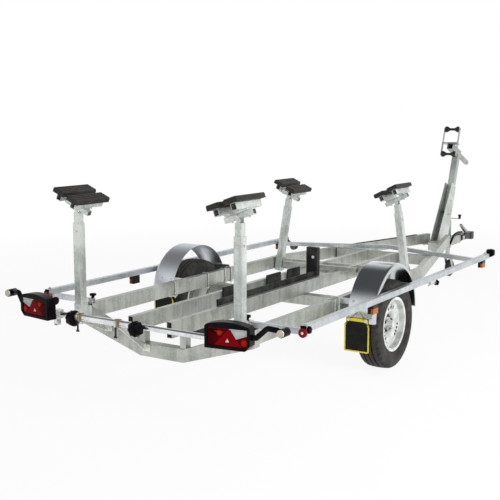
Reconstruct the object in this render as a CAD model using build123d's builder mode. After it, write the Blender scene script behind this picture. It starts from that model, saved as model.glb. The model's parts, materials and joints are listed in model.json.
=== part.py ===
"""Boat trailer: galvanised box frame, keel channel, four adjustable hull supports and a bow post.

Units are millimetres. X points right, Y points forward to the coupling, Z points up from the ground.
The origin lies on the ground, midway along the trailer and midway between its wheels.
"""

from build123d import *
import os
from math import cos, radians, sin, sqrt, tan

# Overall layout, each length measured from the frame's datum over the axle
rear_overhang = 1875.0
housing_reach = 3760.0
bellows_length = 110.0
coupling_length = 372.0
overall_length = rear_overhang + housing_reach + bellows_length + coupling_length
datum_y = rear_overhang - overall_length / 2
touch_gap = 0.3
running_gap = 0.5


def ahead(distance):
    """Place along the trailer, measured forward from the frame's datum over the axle."""
    return datum_y + distance


# The housing's front end places the arms' tips, the bow post and the jockey wheel
housing_front = ahead(housing_reach)

# Frame rails and drawbar arms
rail_height = 100.0
rail_width = 45.0
rail_wall = 3.0
rail_top = 548.0
rail_x = 655.0
rail_rear = ahead(-1430.0)
rail_bend = ahead(1060.0)
arm_tip_x = 105.0
arm_set_back = 570.0
arm_tip_y = housing_front - arm_set_back
rail_bottom = rail_top - rail_height
rail_inner = rail_x - rail_width / 2
rail_outer = rail_x + rail_width / 2

# Keel rails, cross members and the small bar over the keel rails
keel_rail_x = 150.0
keel_rail_width = 40.0
keel_rail_overhang = 110.0
front_member_y = ahead(935.0)
middle_member_y = ahead(1760.0)
member_width = 50.0
member_height = 90.0
small_bar_y = ahead(575.0)
small_bar_size = 35.0
small_bar_overhang = 160.0
small_bar_wall = 2.0

# Dropped rear beam
beam_rear = ahead(-1500.0)
beam_depth = 70.0
beam_floor = 272.0
beam_flat_half = 168.0
beam_centre_height = 83.0
beam_end_floor = 430.0
beam_end_top = 540.0
upright_x = 160.0
upright_width = 45.0
upright_depth = 50.0
keel_rail_rear = beam_rear - keel_rail_overhang

# Axle, swing arms and hubs
wheel_y = ahead(-10.0)
tyre_radius = 317.0
tyre_width = 186.0
wheel_centre_x = 838.0
axle_tube_size = 80.0
axle_tube_wall = 5.0
axle_tube_y = ahead(50.0)
axle_tube_z = rail_bottom - axle_tube_size / 2
swing_arm_x = 700.0
swing_arm_thickness = 24.0
swing_arm_boss = 38.0
brake_plate_radius = 118.0
brake_plate_thickness = 6.0
brake_plate_inset = 62.0
stub_radius = 18.0
stub_reach = 12.0

# Rims, drums and hubs, in steps outward from the wheel's centre plane
rim_flange_radius = 194.0
rim_flange_lip = 5.0
rim_seat_radius = 178.0
rim_well_radius = 146.0
rim_width = 152.0
disc_ring_face = 44.0
disc_hub_face = 22.0
disc_thickness = 6.0
disc_ring_inner = 104.0
disc_ring_outer = 134.0
disc_hub_radius = 62.0
hub_radius = 48.0
hub_inner_reach = 50.0
hub_cap_radius = 28.0
hub_cap_reach = 64.0
hub_bore_end = 18.0
drum_radius = 112.0
drum_wall = 22.0
drum_reach = 54.0
slot_group_count = 3
slots_per_group = 4
slot_step = 13.0
slot_length = 20.0
slot_width = 9.0
stud_count = 5
stud_circle_radius = 50.0
stud_radius = 7.0
stud_reach = 16.0

# Tyre outline steps from the rim's flange to the tread
tyre_bead_step = 8.0
tyre_belly_drop = 62.0
tyre_shoulder_drop = 12.0
tyre_shoulder_inset = 16.0
tyre_crown_inset = 42.0

# Mudguards and flaps
guard_clearance = 46.0
guard_rise = 79.0
guard_set_back = 48.0
guard_radius = tyre_radius + guard_clearance
guard_z = tyre_radius + guard_rise
guard_y = wheel_y - guard_set_back
guard_sheet = 2.0
guard_side_cover = 14.0
guard_inner_x = wheel_centre_x - tyre_width / 2
guard_outer_x = wheel_centre_x + tyre_width / 2 + guard_side_cover
guard_roll_radius = 20.0
guard_lip = 9.0
stay_width = 40.0
stay_thickness = 6.0
stay_end_x = 900.0
stay_angles = (158.0, 25.0)
flap_thickness = 8.0
flap_inner_x = 728.0
flap_outer_x = 912.0
flap_bottom = 195.0
flap_shoulder = guard_z - 4.0
flap_top = guard_z + 32.0
flap_neck_inset = 12.0
flap_corner = 18.0

# Side rails, outriggers and swept front arms
side_rail_x = 997.0
side_rail_size = 40.0
side_rail_wall = 2.0
side_rail_z = 587.0
side_rail_rear = ahead(-1478.0)
side_rail_front = ahead(1730.0)
outrigger_y = ahead(-1452.0)
outrigger_size = 35.0
outrigger_inner_x = 600.0
swept_arm_side_y = ahead(1560.0)
swept_arm_middle_y = ahead(1925.0)
swept_arm_size = 35.0

# Light bar
bar_y = ahead(-1775.0)
bar_z = 541.0
bar_outer_radius = 21.0
bar_inner_radius = 17.5
bar_sleeve_left = -450.0
bar_sleeve_right = 55.0
bar_end_x = 690.0
bar_clamp_table = (
    # clamp x, foot z on the rear beam
    (-427.0, 420.0),
    (-116.0, 330.0),
)
clamp_ring_radius = 27.0
clamp_ring_width = 20.0
clamp_arm_width = 8.0
clamp_arm_height = 30.0
clamp_foot_width = 60.0
clamp_foot_height = 44.0
clamp_foot_thickness = 6.0
knob_table = (
    # knob x, radius
    (-474.0, 38.0),
    (67.0, 37.0),
)
knob_thickness = 26.0
knob_stand_off = 30.0
knob_stem_radius = 7.0

# Tail lamps: the outer ends swing forward by the splay
lamp_inner_x = 597.0
lamp_width = 275.0
lamp_splay = 8.0
lamp_bottom = 513.0
lamp_side_top = 648.0
lamp_crown = 666.0
lamp_rear = ahead(-1875.0)
lamp_depth = 66.0
lamp_chamfer = 30.0
lamp_corner = 12.0
lamp_rim = 17.0
lens_pocket = 18.0
lens_recess = 7.0
lens_corner = 6.0
lamp_plate_width = 96.0
lamp_plate_height = 60.0
lamp_plate_thickness = 10.0

# Outline markers on rubber stalks
marker_x = 1034.0
marker_rear = ahead(-1790.0)
marker_z = 628.0
marker_radius = 24.0
marker_length = 66.0
marker_lens_radius = 21.0
marker_lens_thickness = 7.0
marker_stalk_radius = 12.0
marker_stalk_bend = 18.0
marker_stalk_start_z = 588.0
marker_stalk_top_z = 644.0
marker_stalk_rise_x = 945.0

# Reflectors and front marker lamps
tail_reflector_radius = 27.0
tail_reflector_depth = 12.0
tail_reflector_drop = 22.0
reflector_length = 74.0
reflector_holder_width = 40.0
reflector_holder_height = 24.0
reflector_lens_depth = 17.0
reflector_lens_height = 36.0
side_reflector_places = (
    # place along the trailer
    ahead(-560.0),
    ahead(1600.0),
)
front_marker_radius = 34.0
front_marker_length = 40.0
front_marker_y = ahead(1782.0)
front_marker_table = (
    # side, step outward and step upward from the side rail's centre line
    (-1, -47.0, -75.0),
    (1, 8.0, 17.0),
)
front_marker_plug_length = 62.0
front_marker_plug_reach = 18.0

# Hull supports
post_outer = 55.0
post_wall = 4.5
post_inner = post_outer - 2 * post_wall - 2 * running_gap
socket_size = 63.0
socket_rise = 20.0
socket_plate_width = 94.0
front_lean = 8.7
post_foot_z = 435.0
rear_foot_x = 620.0
socket_half = socket_size / 2 / cos(radians(front_lean))
lean_rate = tan(radians(front_lean))
front_foot_x = rail_inner - touch_gap - socket_half + lean_rate * (rail_bottom - post_foot_z)
support_table = (
    # name, side, x of the foot, y, lean inward, top of outer tube, pivot height, head tilt
    ("rear_left", -1, rear_foot_x, ahead(-1550.0), 0.0, 1093.0, 1198.0, 22.5),
    ("rear_right", 1, rear_foot_x, ahead(-1550.0), 0.0, 1093.0, 1210.0, 19.0),
    ("front_left", -1, front_foot_x, front_member_y, front_lean, 1000.0, 1104.0, 24.0),
    ("front_right", 1, front_foot_x, front_member_y, front_lean, 1000.0, 1106.0, 26.5),
)
support_overlap = 320.0
pivot_rise = 38.0
ear_thickness = 5.0
ear_width = 26.0
ear_root = 8.0
ear_head = 12.0
pivot_radius = 6.0
pivot_fit = 0.05
crossbar_size = 34.0
crossbar_length = 206.0
crossbar_wall = 3.0
saddle_thickness = 10.0
saddle_length = 70.0
carrier_width = 38.0
carrier_height = 42.0
carrier_length = 260.0
carrier_spread = 62.0
pad_length = 300.0
pad_width = 90.0
pad_thickness = 32.0
pad_bevel = 7.0
pad_groove_count = 3
pad_groove_pitch = 22.0
pad_groove_width = 5.0
pad_groove_depth = 4.0

# Bow post, measured from the point where the tube's centre line meets its foot
drawbar_z = 432.0
housing_height = 84.0
bow_lean = 20.5
bow_set_back = 427.0
bow_foot_y = housing_front - bow_set_back
bow_plate = 8.0
bow_foot_z = drawbar_z + housing_height / 2 + touch_gap + bow_plate
bow_channel_length = 597.0
bow_channel_width = 78.0
bow_flange_low = 250.0
bow_flange_high = 94.0
bow_channel_wall = 5.0
bow_tube_size = 66.0
bow_tube_wall = 4.0
bow_tube_bottom = 297.0
bow_tube_top = 929.0
bow_box_size = 66.0
bow_box_rear = 222.0
bow_box_front = 38.0
bow_bar_size = 40.0
bow_bar_front = 350.0
bow_bar_wall = 3.0
bow_plate_width = 34.0
bow_plate_thickness = 6.0
bow_roller_back = 8.0
bow_roller_drop = 92.0
bow_roller_gap = 276.0
bow_roller_length = 150.0
bow_roller_end_radius = 31.0
bow_roller_waist_radius = 13.0
bow_pin_radius = 6.0
bow_pin_fit = 0.08

# Overrun device and coupling
housing_length = 730.0
housing_rear = housing_front - housing_length
housing_width = 92.0
housing_corner = 14.0
drawbar_plate_set_back = 620.0
drawbar_plate_y = housing_front - drawbar_plate_set_back
drawbar_plate_width = 280.0
drawbar_plate_depth = 100.0
drawbar_plate_thickness = 10.0
bellows_radius = 38.0
bellows_rings = 5
bellows_fold = 8.0
coupling_nose = housing_front + bellows_length + coupling_length
coupling_width = 84.0
coupling_neck = 64.0
coupling_top = 34.0
coupling_cup_floor = 44.0
coupling_cup_length = 108.0
ball_radius = 25.2
ball_set_back = 52.0
ball_drop = 30.0
handle_width = 28.0
lever_thickness = 6.0
lever_width = 24.0

# Jockey wheel
jockey_clearance = 11.0
jockey_sleeve_radius = 30.0
jockey_x = -housing_width / 2 - jockey_clearance - jockey_sleeve_radius
jockey_set_back = 30.0
jockey_y = housing_front - jockey_set_back
jockey_leg_radius = 24.0
jockey_sleeve_bottom = 330.0
jockey_sleeve_top = 640.0
jockey_leg_bottom = 235.0
jockey_leg_top = 540.0
jockey_wheel_radius = 95.0
jockey_wheel_width = 50.0
jockey_trail = 70.0
jockey_fork_gap = 60.0
jockey_fork_plate = 5.0
jockey_axle_radius = 8.0
jockey_axle_fit = 0.1
jockey_clamp_depth = 44.0
jockey_clamp_height = 60.0
crank_rise = 20.0
crank_reach = 124.0
crank_stem_radius = 9.0
crank_arm_radius = 5.0
crank_grip_radius = 11.0
crank_grip_height = 42.0

# Keel guides
plank_y = (ahead(-1065.0), ahead(230.0))
plank_thickness = 14.0
plank_top = rail_top + 40.0
left_guide_places = (
    # start, end along the trailer
    (ahead(-640.0), ahead(-450.0)),
    (ahead(-50.0), ahead(150.0)),
    (ahead(262.0), ahead(452.0)),
)
left_guide_top = rail_top + 26.0
tall_guide_width = 94.0
tall_guide_depth = 45.0
tall_guide_y = ahead(300.0)
tall_guide_top = rail_top + 217.0

# Wiring lead, point by point along the left drawbar arm
lead_radius = 4.0
lead_bend = 60.0
lead_table = (
    # distance back from the arm's tip, step inward from the arm's centre line
    (1380.0, 6.0),
    (1120.0, -1.0),
    (770.0, 4.0),
    (430.0, 1.0),
    (200.0, -3.0),
)

os.makedirs("parts", exist_ok=True)


def write_piece(part, label):
    """Label one finished piece and write its file."""
    part.label = label
    export_step(part, f"parts/{label}.step")


def strip_outline(line, width):
    """Closed outline of a strip of constant width whose centre line bends with mitred corners."""
    points = [Vector(x, y) for x, y in line]
    runs = [(b - a).normalized() for a, b in zip(points, points[1:])]
    left = []
    right = []
    for index, point in enumerate(points):
        before = runs[max(index - 1, 0)]
        after = runs[min(index, len(runs) - 1)]
        middle = (before + after).normalized()
        normal = Vector(-middle.Y, middle.X)
        reach = width / 2 / middle.dot(after)
        left.append(point + normal * reach)
        right.append(point - normal * reach)
    return [(p.X, p.Y) for p in left + right[::-1]]


def bent_box_tube(line, width, height, wall, bottom):
    """Box tube lying flat, bent with mitred corners along a line of plan points."""
    with BuildPart() as tube:
        with BuildSketch(Plane.XY.offset(bottom)):
            with BuildLine():
                Polyline(*strip_outline(line, width), close=True)
            make_face()
        extrude(amount=height)
        with BuildSketch(Plane.XY.offset(bottom + wall)):
            with BuildLine():
                Polyline(*strip_outline(line, width - 2 * wall), close=True)
            make_face()
        extrude(amount=height - 2 * wall, mode=Mode.SUBTRACT)
    return tube.part


def box_tube(start, end, width, height, wall, upward=(0, 0, 1), corner=3.0):
    """Straight box tube from start to end, open at both ends; height is measured along upward."""
    run = Vector(end) - Vector(start)
    along = run.normalized()
    rise = Vector(upward)
    across = (rise - along * rise.dot(along)).normalized()
    with BuildPart() as tube:
        with BuildSketch(Plane(origin=start, x_dir=across, z_dir=along)):
            RectangleRounded(height, width, corner)
            Rectangle(height - 2 * wall, width - 2 * wall, mode=Mode.SUBTRACT)
        extrude(amount=run.length)
    return tube.part


def bar(start, end, width, height, upward=(0, 0, 1)):
    """Solid flat bar from start to end; height is measured along upward."""
    run = Vector(end) - Vector(start)
    along = run.normalized()
    rise = Vector(upward)
    across = (rise - along * rise.dot(along)).normalized()
    with BuildPart() as flat:
        with BuildSketch(Plane(origin=start, x_dir=across, z_dir=along)):
            Rectangle(height, width)
        extrude(amount=run.length)
    return flat.part


def rod(start, end, radius):
    """Round bar from start to end."""
    run = Vector(end) - Vector(start)
    with BuildPart() as round_bar:
        with BuildSketch(Plane(origin=start, z_dir=run)):
            Circle(radius)
        extrude(amount=run.length)
    return round_bar.part


def place(origin, z_dir, x_dir):
    """Plane at a point with its own normal and x direction."""
    return Plane(origin=origin, x_dir=x_dir, z_dir=z_dir)


# Chassis rails: each bends inward and runs on as a drawbar arm
for side_name, side in (("left", -1), ("right", 1)):
    with BuildPart() as chassis_rail:
        centre_line = (
            (side * rail_x, rail_rear),
            (side * rail_x, rail_bend),
            (side * arm_tip_x, arm_tip_y),
        )
        add(bent_box_tube(centre_line, rail_width, rail_height, rail_wall, rail_bottom))
    write_piece(chassis_rail.part, f"chassis_rail_{side_name}")

# Keel rails
with BuildPart() as keel_rails:
    for side in (-1, 1):
        add(
            box_tube(
                (side * keel_rail_x, keel_rail_rear, rail_bottom + rail_height / 2),
                (side * keel_rail_x, middle_member_y - member_width / 2, rail_bottom + rail_height / 2),
                keel_rail_width,
                rail_height,
                rail_wall,
            )
        )
write_piece(keel_rails.part, "keel_rails")

# Dropped rear beam with the two uprights that carry the keel rails
beam_end_x = rail_outer
with BuildPart() as rear_beam:
    with BuildSketch(Plane.XZ.offset(-beam_rear - beam_depth)):
        with BuildLine():
            Polyline(
                (-beam_end_x, beam_end_floor),
                (-beam_flat_half, beam_floor),
                (beam_flat_half, beam_floor),
                (beam_end_x, beam_end_floor),
                (beam_end_x, beam_end_top),
                (beam_flat_half, beam_floor + beam_centre_height),
                (-beam_flat_half, beam_floor + beam_centre_height),
                (-beam_end_x, beam_end_top),
                close=True,
            )
        make_face()
    extrude(amount=beam_depth)
    upright_height = rail_bottom - beam_floor - beam_centre_height
    with Locations(
        (-upright_x, beam_rear + beam_depth / 2, rail_bottom - upright_height / 2),
        (upright_x, beam_rear + beam_depth / 2, rail_bottom - upright_height / 2),
    ):
        Box(upright_width, upright_depth, upright_height)
write_piece(rear_beam.part, "rear_beam")

# Cross members: side pieces and middle pieces between the rails, and the small bar over the keel rails
member_z = rail_bottom + rail_height / 2
member_top = member_z + member_height / 2
front_member_half = front_foot_x - lean_rate * (member_top - post_foot_z) - socket_half - touch_gap
keel_inner = keel_rail_x - keel_rail_width / 2
keel_outer = keel_rail_x + keel_rail_width / 2
arm_slope = (rail_x - arm_tip_x) / (arm_tip_y - rail_bend)
arm_half = rail_width / 2 * sqrt(1 + arm_slope**2)
middle_member_half = rail_x - arm_slope * (middle_member_y + member_width / 2 - rail_bend) - arm_half
with BuildPart() as cross_members:
    for side in (-1, 1):
        add(
            box_tube(
                (side * keel_outer, front_member_y, member_z),
                (side * front_member_half, front_member_y, member_z),
                member_width,
                member_height,
                rail_wall,
            )
        )
    add(
        box_tube(
            (-keel_inner, front_member_y, member_z),
            (keel_inner, front_member_y, member_z),
            member_width,
            member_height,
            rail_wall,
        )
    )
    add(
        box_tube(
            (-middle_member_half, middle_member_y, member_z),
            (middle_member_half, middle_member_y, member_z),
            member_width,
            member_height,
            rail_wall,
        )
    )
    add(
        box_tube(
            (-keel_outer - small_bar_overhang, small_bar_y, rail_top + small_bar_size / 2),
            (keel_outer + small_bar_overhang, small_bar_y, rail_top + small_bar_size / 2),
            small_bar_size,
            small_bar_size,
            small_bar_wall,
        )
    )
write_piece(cross_members.part, "cross_members")

# Torsion axle tube under the rails
with BuildPart() as axle_beam:
    add(
        box_tube(
            (-swing_arm_x + swing_arm_thickness / 2 + touch_gap, axle_tube_y, axle_tube_z),
            (swing_arm_x - swing_arm_thickness / 2 - touch_gap, axle_tube_y, axle_tube_z),
            axle_tube_size,
            axle_tube_size,
            axle_tube_wall,
        )
    )
write_piece(axle_beam.part, "axle_beam")

# Swing arms with brake plates and stub axles
wheel_z = tyre_radius
brake_plate_x = wheel_centre_x - brake_plate_inset
stub_end_x = wheel_centre_x + stub_reach
with BuildPart() as swing_arms:
    for side in (-1, 1):
        arm_start = (side * swing_arm_x, axle_tube_y, axle_tube_z)
        arm_end = (side * swing_arm_x, wheel_y, wheel_z)
        add(bar(arm_start, arm_end, 2 * swing_arm_boss, swing_arm_thickness, (1, 0, 0)))
        for y, z in ((axle_tube_y, axle_tube_z), (wheel_y, wheel_z)):
            add(
                rod(
                    (side * (swing_arm_x - swing_arm_thickness / 2), y, z),
                    (side * (swing_arm_x + swing_arm_thickness / 2), y, z),
                    swing_arm_boss,
                )
            )
        add(rod((side * swing_arm_x, wheel_y, wheel_z), (side * stub_end_x, wheel_y, wheel_z), stub_radius))
        add(
            rod(
                (side * (brake_plate_x - brake_plate_thickness), wheel_y, wheel_z),
                (side * brake_plate_x, wheel_y, wheel_z),
                brake_plate_radius,
            )
        )
write_piece(swing_arms.part, "swing_arms")

# Tyres, and rims made in one with their brake drum and hub
tyre_half = tyre_width / 2
rim_half = rim_width / 2
tyre_side = (
    # step from the centre plane, radius; from the flange up to the crown
    (rim_half - rim_flange_lip - touch_gap, rim_flange_radius + touch_gap),
    (rim_half + 2.0, rim_flange_radius + tyre_bead_step),
    (tyre_half, tyre_radius - tyre_belly_drop),
    (tyre_half - tyre_shoulder_inset, tyre_radius - tyre_shoulder_drop),
    (tyre_half - tyre_crown_inset, tyre_radius),
)
bead_half = rim_half - rim_flange_lip - 3.0
rim_section = (
    # step outward from the centre plane, radius; from the hub's bore round the rim to the hub cap
    (-hub_inner_reach, stub_radius + running_gap),
    (-hub_inner_reach, hub_radius),
    (disc_hub_face - 10.0, hub_radius),
    (disc_hub_face - 10.0, drum_radius - drum_wall),
    (-drum_reach, drum_radius - drum_wall),
    (-drum_reach, drum_radius),
    (disc_hub_face - 12.0, drum_radius),
    (disc_hub_face + 2.0, drum_radius - drum_wall),
    (disc_ring_face - disc_thickness, disc_ring_inner),
    (disc_ring_face - disc_thickness, disc_ring_outer),
    (disc_hub_face - 6.0, rim_well_radius),
    (-26.0, rim_well_radius),
    (-rim_half + 2.0, rim_seat_radius - 4.0),
    (-rim_half, rim_flange_radius),
    (-rim_half + rim_flange_lip, rim_flange_radius),
    (-bead_half, rim_seat_radius),
    (bead_half, rim_seat_radius),
    (rim_half - rim_flange_lip, rim_flange_radius),
    (rim_half, rim_flange_radius),
    (rim_half - 2.0, rim_seat_radius - 4.0),
    (disc_ring_face - 10.0, rim_seat_radius - 8.0),
    (disc_hub_face - 2.0, rim_well_radius),
    (disc_ring_face, disc_ring_outer),
    (disc_ring_face, disc_ring_inner),
    (disc_hub_face, disc_hub_radius),
    (disc_hub_face, hub_cap_radius + 8.0),
    (disc_ring_face, hub_cap_radius),
    (hub_cap_reach, hub_cap_radius - 6.0),
    (hub_cap_reach, 0.0),
    (hub_bore_end, 0.0),
    (hub_bore_end, stub_radius + running_gap),
)
slot_radius = (disc_ring_inner + disc_ring_outer) / 2
slot_middle = (slots_per_group - 1) / 2
for side_name, side in (("left", -1), ("right", 1)):
    wheel_axis = Axis((0, wheel_y, wheel_z), (1, 0, 0))
    wheel_plane = place((side * wheel_centre_x, wheel_y, wheel_z), (0, -side, 0), (side, 0, 0))
    with BuildPart() as tyre:
        with BuildSketch(wheel_plane):
            with BuildLine():
                inner_side = [(-step, radius) for step, radius in tyre_side]
                bead_radius = rim_seat_radius + touch_gap
                tyre_floor = [(bead_half, bead_radius), (-bead_half, bead_radius)]
                Polyline(*inner_side, *tyre_side[::-1], *tyre_floor, close=True)
            make_face()
        revolve(axis=wheel_axis)
    write_piece(tyre.part, f"tyre_{side_name}")

    outward = Vector(side, 0, 0)
    wheel_middle = Vector(side * wheel_centre_x, wheel_y, wheel_z)
    with BuildPart() as rim:
        with BuildSketch(wheel_plane):
            with BuildLine():
                Polyline(*rim_section, close=True)
            make_face()
        revolve(axis=wheel_axis)
        ring_back = wheel_middle + outward * (disc_ring_face - 2 * disc_thickness)
        with BuildSketch(place(ring_back, outward, (0, 1, 0))):
            for group in range(slot_group_count):
                for slot in range(slots_per_group):
                    turn = 90.0 + group * 360.0 / slot_group_count + (slot - slot_middle) * slot_step
                    slot_place = (slot_radius * cos(radians(turn)), slot_radius * sin(radians(turn)))
                    with Locations(Location(slot_place, turn)):
                        Rectangle(slot_length, slot_width)
        extrude(amount=3 * disc_thickness, mode=Mode.SUBTRACT)
        with BuildSketch(place(wheel_middle + outward * (disc_hub_face - 1.0), outward, (0, 1, 0))):
            with PolarLocations(stud_circle_radius, stud_count):
                RegularPolygon(stud_radius, 6)
        extrude(amount=stud_reach)
    write_piece(rim.part, f"rim_{side_name}")

# Mudguards: half-round sheets whose outer edge is rolled inward to a lip
with BuildPart() as guard_stock:
    with BuildSketch(Plane.XY.offset(guard_z)):
        with BuildLine():
            roll_x = guard_outer_x - guard_roll_radius
            outer_crown = guard_y + guard_radius
            inner_crown = outer_crown - guard_sheet
            roll_y = outer_crown - guard_roll_radius
            Line((guard_inner_x, outer_crown), (roll_x, outer_crown))
            RadiusArc((roll_x, outer_crown), (guard_outer_x, roll_y), guard_roll_radius)
            Polyline(
                (guard_outer_x, roll_y),
                (guard_outer_x, roll_y - guard_lip),
                (guard_outer_x - guard_sheet, roll_y - guard_lip),
                (guard_outer_x - guard_sheet, roll_y),
            )
            inner_roll = guard_roll_radius - guard_sheet
            RadiusArc((guard_outer_x - guard_sheet, roll_y), (roll_x, inner_crown), -inner_roll)
            Polyline((roll_x, inner_crown), (guard_inner_x, inner_crown), (guard_inner_x, outer_crown))
        make_face()
    revolve(axis=Axis((0, guard_y, guard_z), (1, 0, 0)), revolution_arc=180)
write_piece(guard_stock.part, "mudguard_right")

with BuildPart() as guard_left:
    mirror(guard_stock.part, about=Plane.YZ)
write_piece(guard_left.part, "mudguard_left")

# Stays that carry the mudguards on the chassis rails
with BuildPart() as guard_stays:
    for side in (-1, 1):
        for angle in stay_angles:
            turn = radians(angle)
            seat_radius = guard_radius - guard_sheet - touch_gap
            reach = sqrt(seat_radius**2 - (stay_width / 2) ** 2) - stay_thickness / 2
            seat_y = guard_y + reach * cos(turn)
            seat_z = guard_z + reach * sin(turn)
            add(
                bar(
                    (side * rail_outer, seat_y, seat_z),
                    (side * stay_end_x, seat_y, seat_z),
                    stay_width,
                    stay_thickness,
                    (0, cos(turn), sin(turn)),
                )
            )
write_piece(guard_stays.part, "guard_stays")

# Mud flaps with a narrower neck where they are riveted to the mudguards
flap_face = guard_y - guard_radius - touch_gap
with BuildPart() as mud_flaps:
    for side in (-1, 1):
        with BuildSketch(Plane.XZ.offset(-flap_face)):
            with BuildLine():
                flap_outline = (
                    # x, z from the lower inner corner round to the neck and back
                    (flap_inner_x, flap_bottom),
                    (flap_outer_x, flap_bottom),
                    (flap_outer_x, flap_shoulder - flap_neck_inset),
                    (flap_outer_x - flap_neck_inset, flap_shoulder),
                    (flap_outer_x - flap_neck_inset, flap_top),
                    (flap_inner_x + flap_neck_inset, flap_top),
                    (flap_inner_x + flap_neck_inset, flap_shoulder),
                    (flap_inner_x, flap_shoulder - flap_neck_inset),
                )
                Polyline(*[(side * x, z) for x, z in flap_outline], close=True)
            make_face()
            fillet(vertices().group_by(Axis.Y)[0], flap_corner)
        extrude(amount=flap_thickness)
write_piece(mud_flaps.part, "mud_flaps")

# Side marker rails
with BuildPart() as side_rails:
    for side in (-1, 1):
        add(
            box_tube(
                (side * side_rail_x, side_rail_rear, side_rail_z),
                (side * side_rail_x, side_rail_front, side_rail_z),
                side_rail_size,
                side_rail_size,
                side_rail_wall,
            )
        )
write_piece(side_rails.part, "side_rails")

# Rear outriggers lie on the chassis rails and hold the side rails
with BuildPart() as rear_outriggers:
    for side in (-1, 1):
        add(
            box_tube(
                (side * outrigger_inner_x, outrigger_y, rail_top + outrigger_size / 2),
                (side * (side_rail_x - side_rail_size / 2), outrigger_y, rail_top + outrigger_size / 2),
                outrigger_size,
                outrigger_size,
                side_rail_wall,
            )
        )
write_piece(rear_outriggers.part, "rear_outriggers")

# Swept front arm lies on the drawbar arms and holds the side rails' front ends
swept_arm_end_x = side_rail_x - side_rail_size / 2 - swept_arm_size / 5
with BuildPart() as swept_arm:
    swept_line = (
        (-swept_arm_end_x, swept_arm_side_y),
        (0, swept_arm_middle_y),
        (swept_arm_end_x, swept_arm_side_y),
    )
    add(bent_box_tube(swept_line, swept_arm_size, swept_arm_size, side_rail_wall, rail_top))
write_piece(swept_arm.part, "swept_arm")

# Tail lamps sit askew: each side gives its inner corner, its run outward and its depth direction
splay_cos = cos(radians(lamp_splay))
splay_sin = sin(radians(lamp_splay))
lamp_sides = []
for side in (-1, 1):
    inner_corner = Vector(side * lamp_inner_x, lamp_rear, 0)
    run_out = Vector(side * splay_cos, splay_sin, 0)
    inward = Vector(-side * splay_sin, splay_cos, 0)
    lamp_sides.append((side, inner_corner, run_out, inward))

# Light bar: sleeve, two sliding tubes and the lamp plates
with BuildPart() as light_bar:
    add(rod((bar_sleeve_left, bar_y, bar_z), (bar_sleeve_right, bar_y, bar_z), bar_outer_radius))
    add(rod((-bar_end_x, bar_y, bar_z), (bar_end_x, bar_y, bar_z), bar_inner_radius))
    for side, corner, run_out, inward in lamp_sides:
        plate_level = Vector(0, 0, bar_z)
        plate_start = corner + inward * (lamp_depth + touch_gap + lamp_plate_thickness / 2) + plate_level
        plate_end = plate_start + run_out * lamp_plate_width
        add(bar(plate_start, plate_end, lamp_plate_thickness, lamp_plate_height))
write_piece(light_bar.part, "light_bar")

# Ring clamps with their carrier bars down to the rear beam
with BuildPart() as light_bar_clamps:
    for clamp_x, foot_z in bar_clamp_table:
        ring_start = (clamp_x - clamp_ring_width / 2, bar_y, bar_z)
        ring_end = (clamp_x + clamp_ring_width / 2, bar_y, bar_z)
        add(rod(ring_start, ring_end, clamp_ring_radius))
        arm_start = (clamp_x, bar_y + clamp_ring_radius / 3, bar_z - clamp_ring_radius / 2)
        arm_end = (clamp_x, beam_rear - 2 * clamp_foot_thickness, foot_z)
        add(bar(arm_start, arm_end, clamp_arm_width, clamp_arm_height))
        with Locations((clamp_x, beam_rear - touch_gap - clamp_foot_thickness / 2, foot_z)):
            Box(clamp_foot_width, clamp_foot_thickness, clamp_foot_height)
        bore_start = (clamp_x - clamp_ring_width, bar_y, bar_z)
        bore_end = (clamp_x + clamp_ring_width, bar_y, bar_z)
        add(rod(bore_start, bore_end, bar_outer_radius + touch_gap), mode=Mode.SUBTRACT)
write_piece(light_bar_clamps.part, "light_bar_clamps")

# Grip knobs at the sleeve's ends
with BuildPart() as light_bar_knobs:
    for knob_x, knob_radius in knob_table:
        knob_start = Vector(knob_x, bar_y - knob_stand_off, bar_z - knob_stem_radius)
        add(rod(knob_start, knob_start - Vector(0, knob_thickness, 0), knob_radius))
        stem_start = Vector(knob_x, bar_y - knob_stand_off - 1.0, bar_z)
        stem_end = Vector(knob_x, bar_y - bar_inner_radius - touch_gap, bar_z)
        add(rod(stem_start, stem_end, knob_stem_radius))
write_piece(light_bar_knobs.part, "light_bar_knobs")

# Tail lamp housings, rounded at the shoulders, with a pocket for the lens
with BuildPart() as lamp_housings:
    for side, corner, run_out, inward in lamp_sides:
        lamp_plane = place(corner, run_out.cross(Vector(0, 0, 1)), run_out)
        with BuildSketch(lamp_plane):
            with BuildLine():
                Polyline(
                    (0, lamp_side_top - lamp_corner),
                    (0, lamp_bottom),
                    (lamp_width - lamp_chamfer, lamp_bottom),
                    (lamp_width, lamp_bottom + lamp_chamfer),
                    (lamp_width, lamp_side_top - lamp_corner),
                    (lamp_width - lamp_corner, lamp_side_top),
                )
                ThreePointArc(
                    (lamp_width - lamp_corner, lamp_side_top),
                    (lamp_width / 2, lamp_crown),
                    (lamp_corner, lamp_side_top),
                )
                Line((lamp_corner, lamp_side_top), (0, lamp_side_top - lamp_corner))
            make_face()
        extrude(amount=-side * lamp_depth)
        with BuildSketch(lamp_plane):
            with Locations((lamp_width / 2, (lamp_bottom + lamp_side_top) / 2)):
                RectangleRounded(
                    lamp_width - 2 * lamp_rim,
                    lamp_side_top - lamp_bottom - 2 * lamp_rim,
                    lens_corner,
                )
        extrude(amount=-side * lens_pocket, mode=Mode.SUBTRACT)
write_piece(lamp_housings.part, "lamp_housings")

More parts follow.
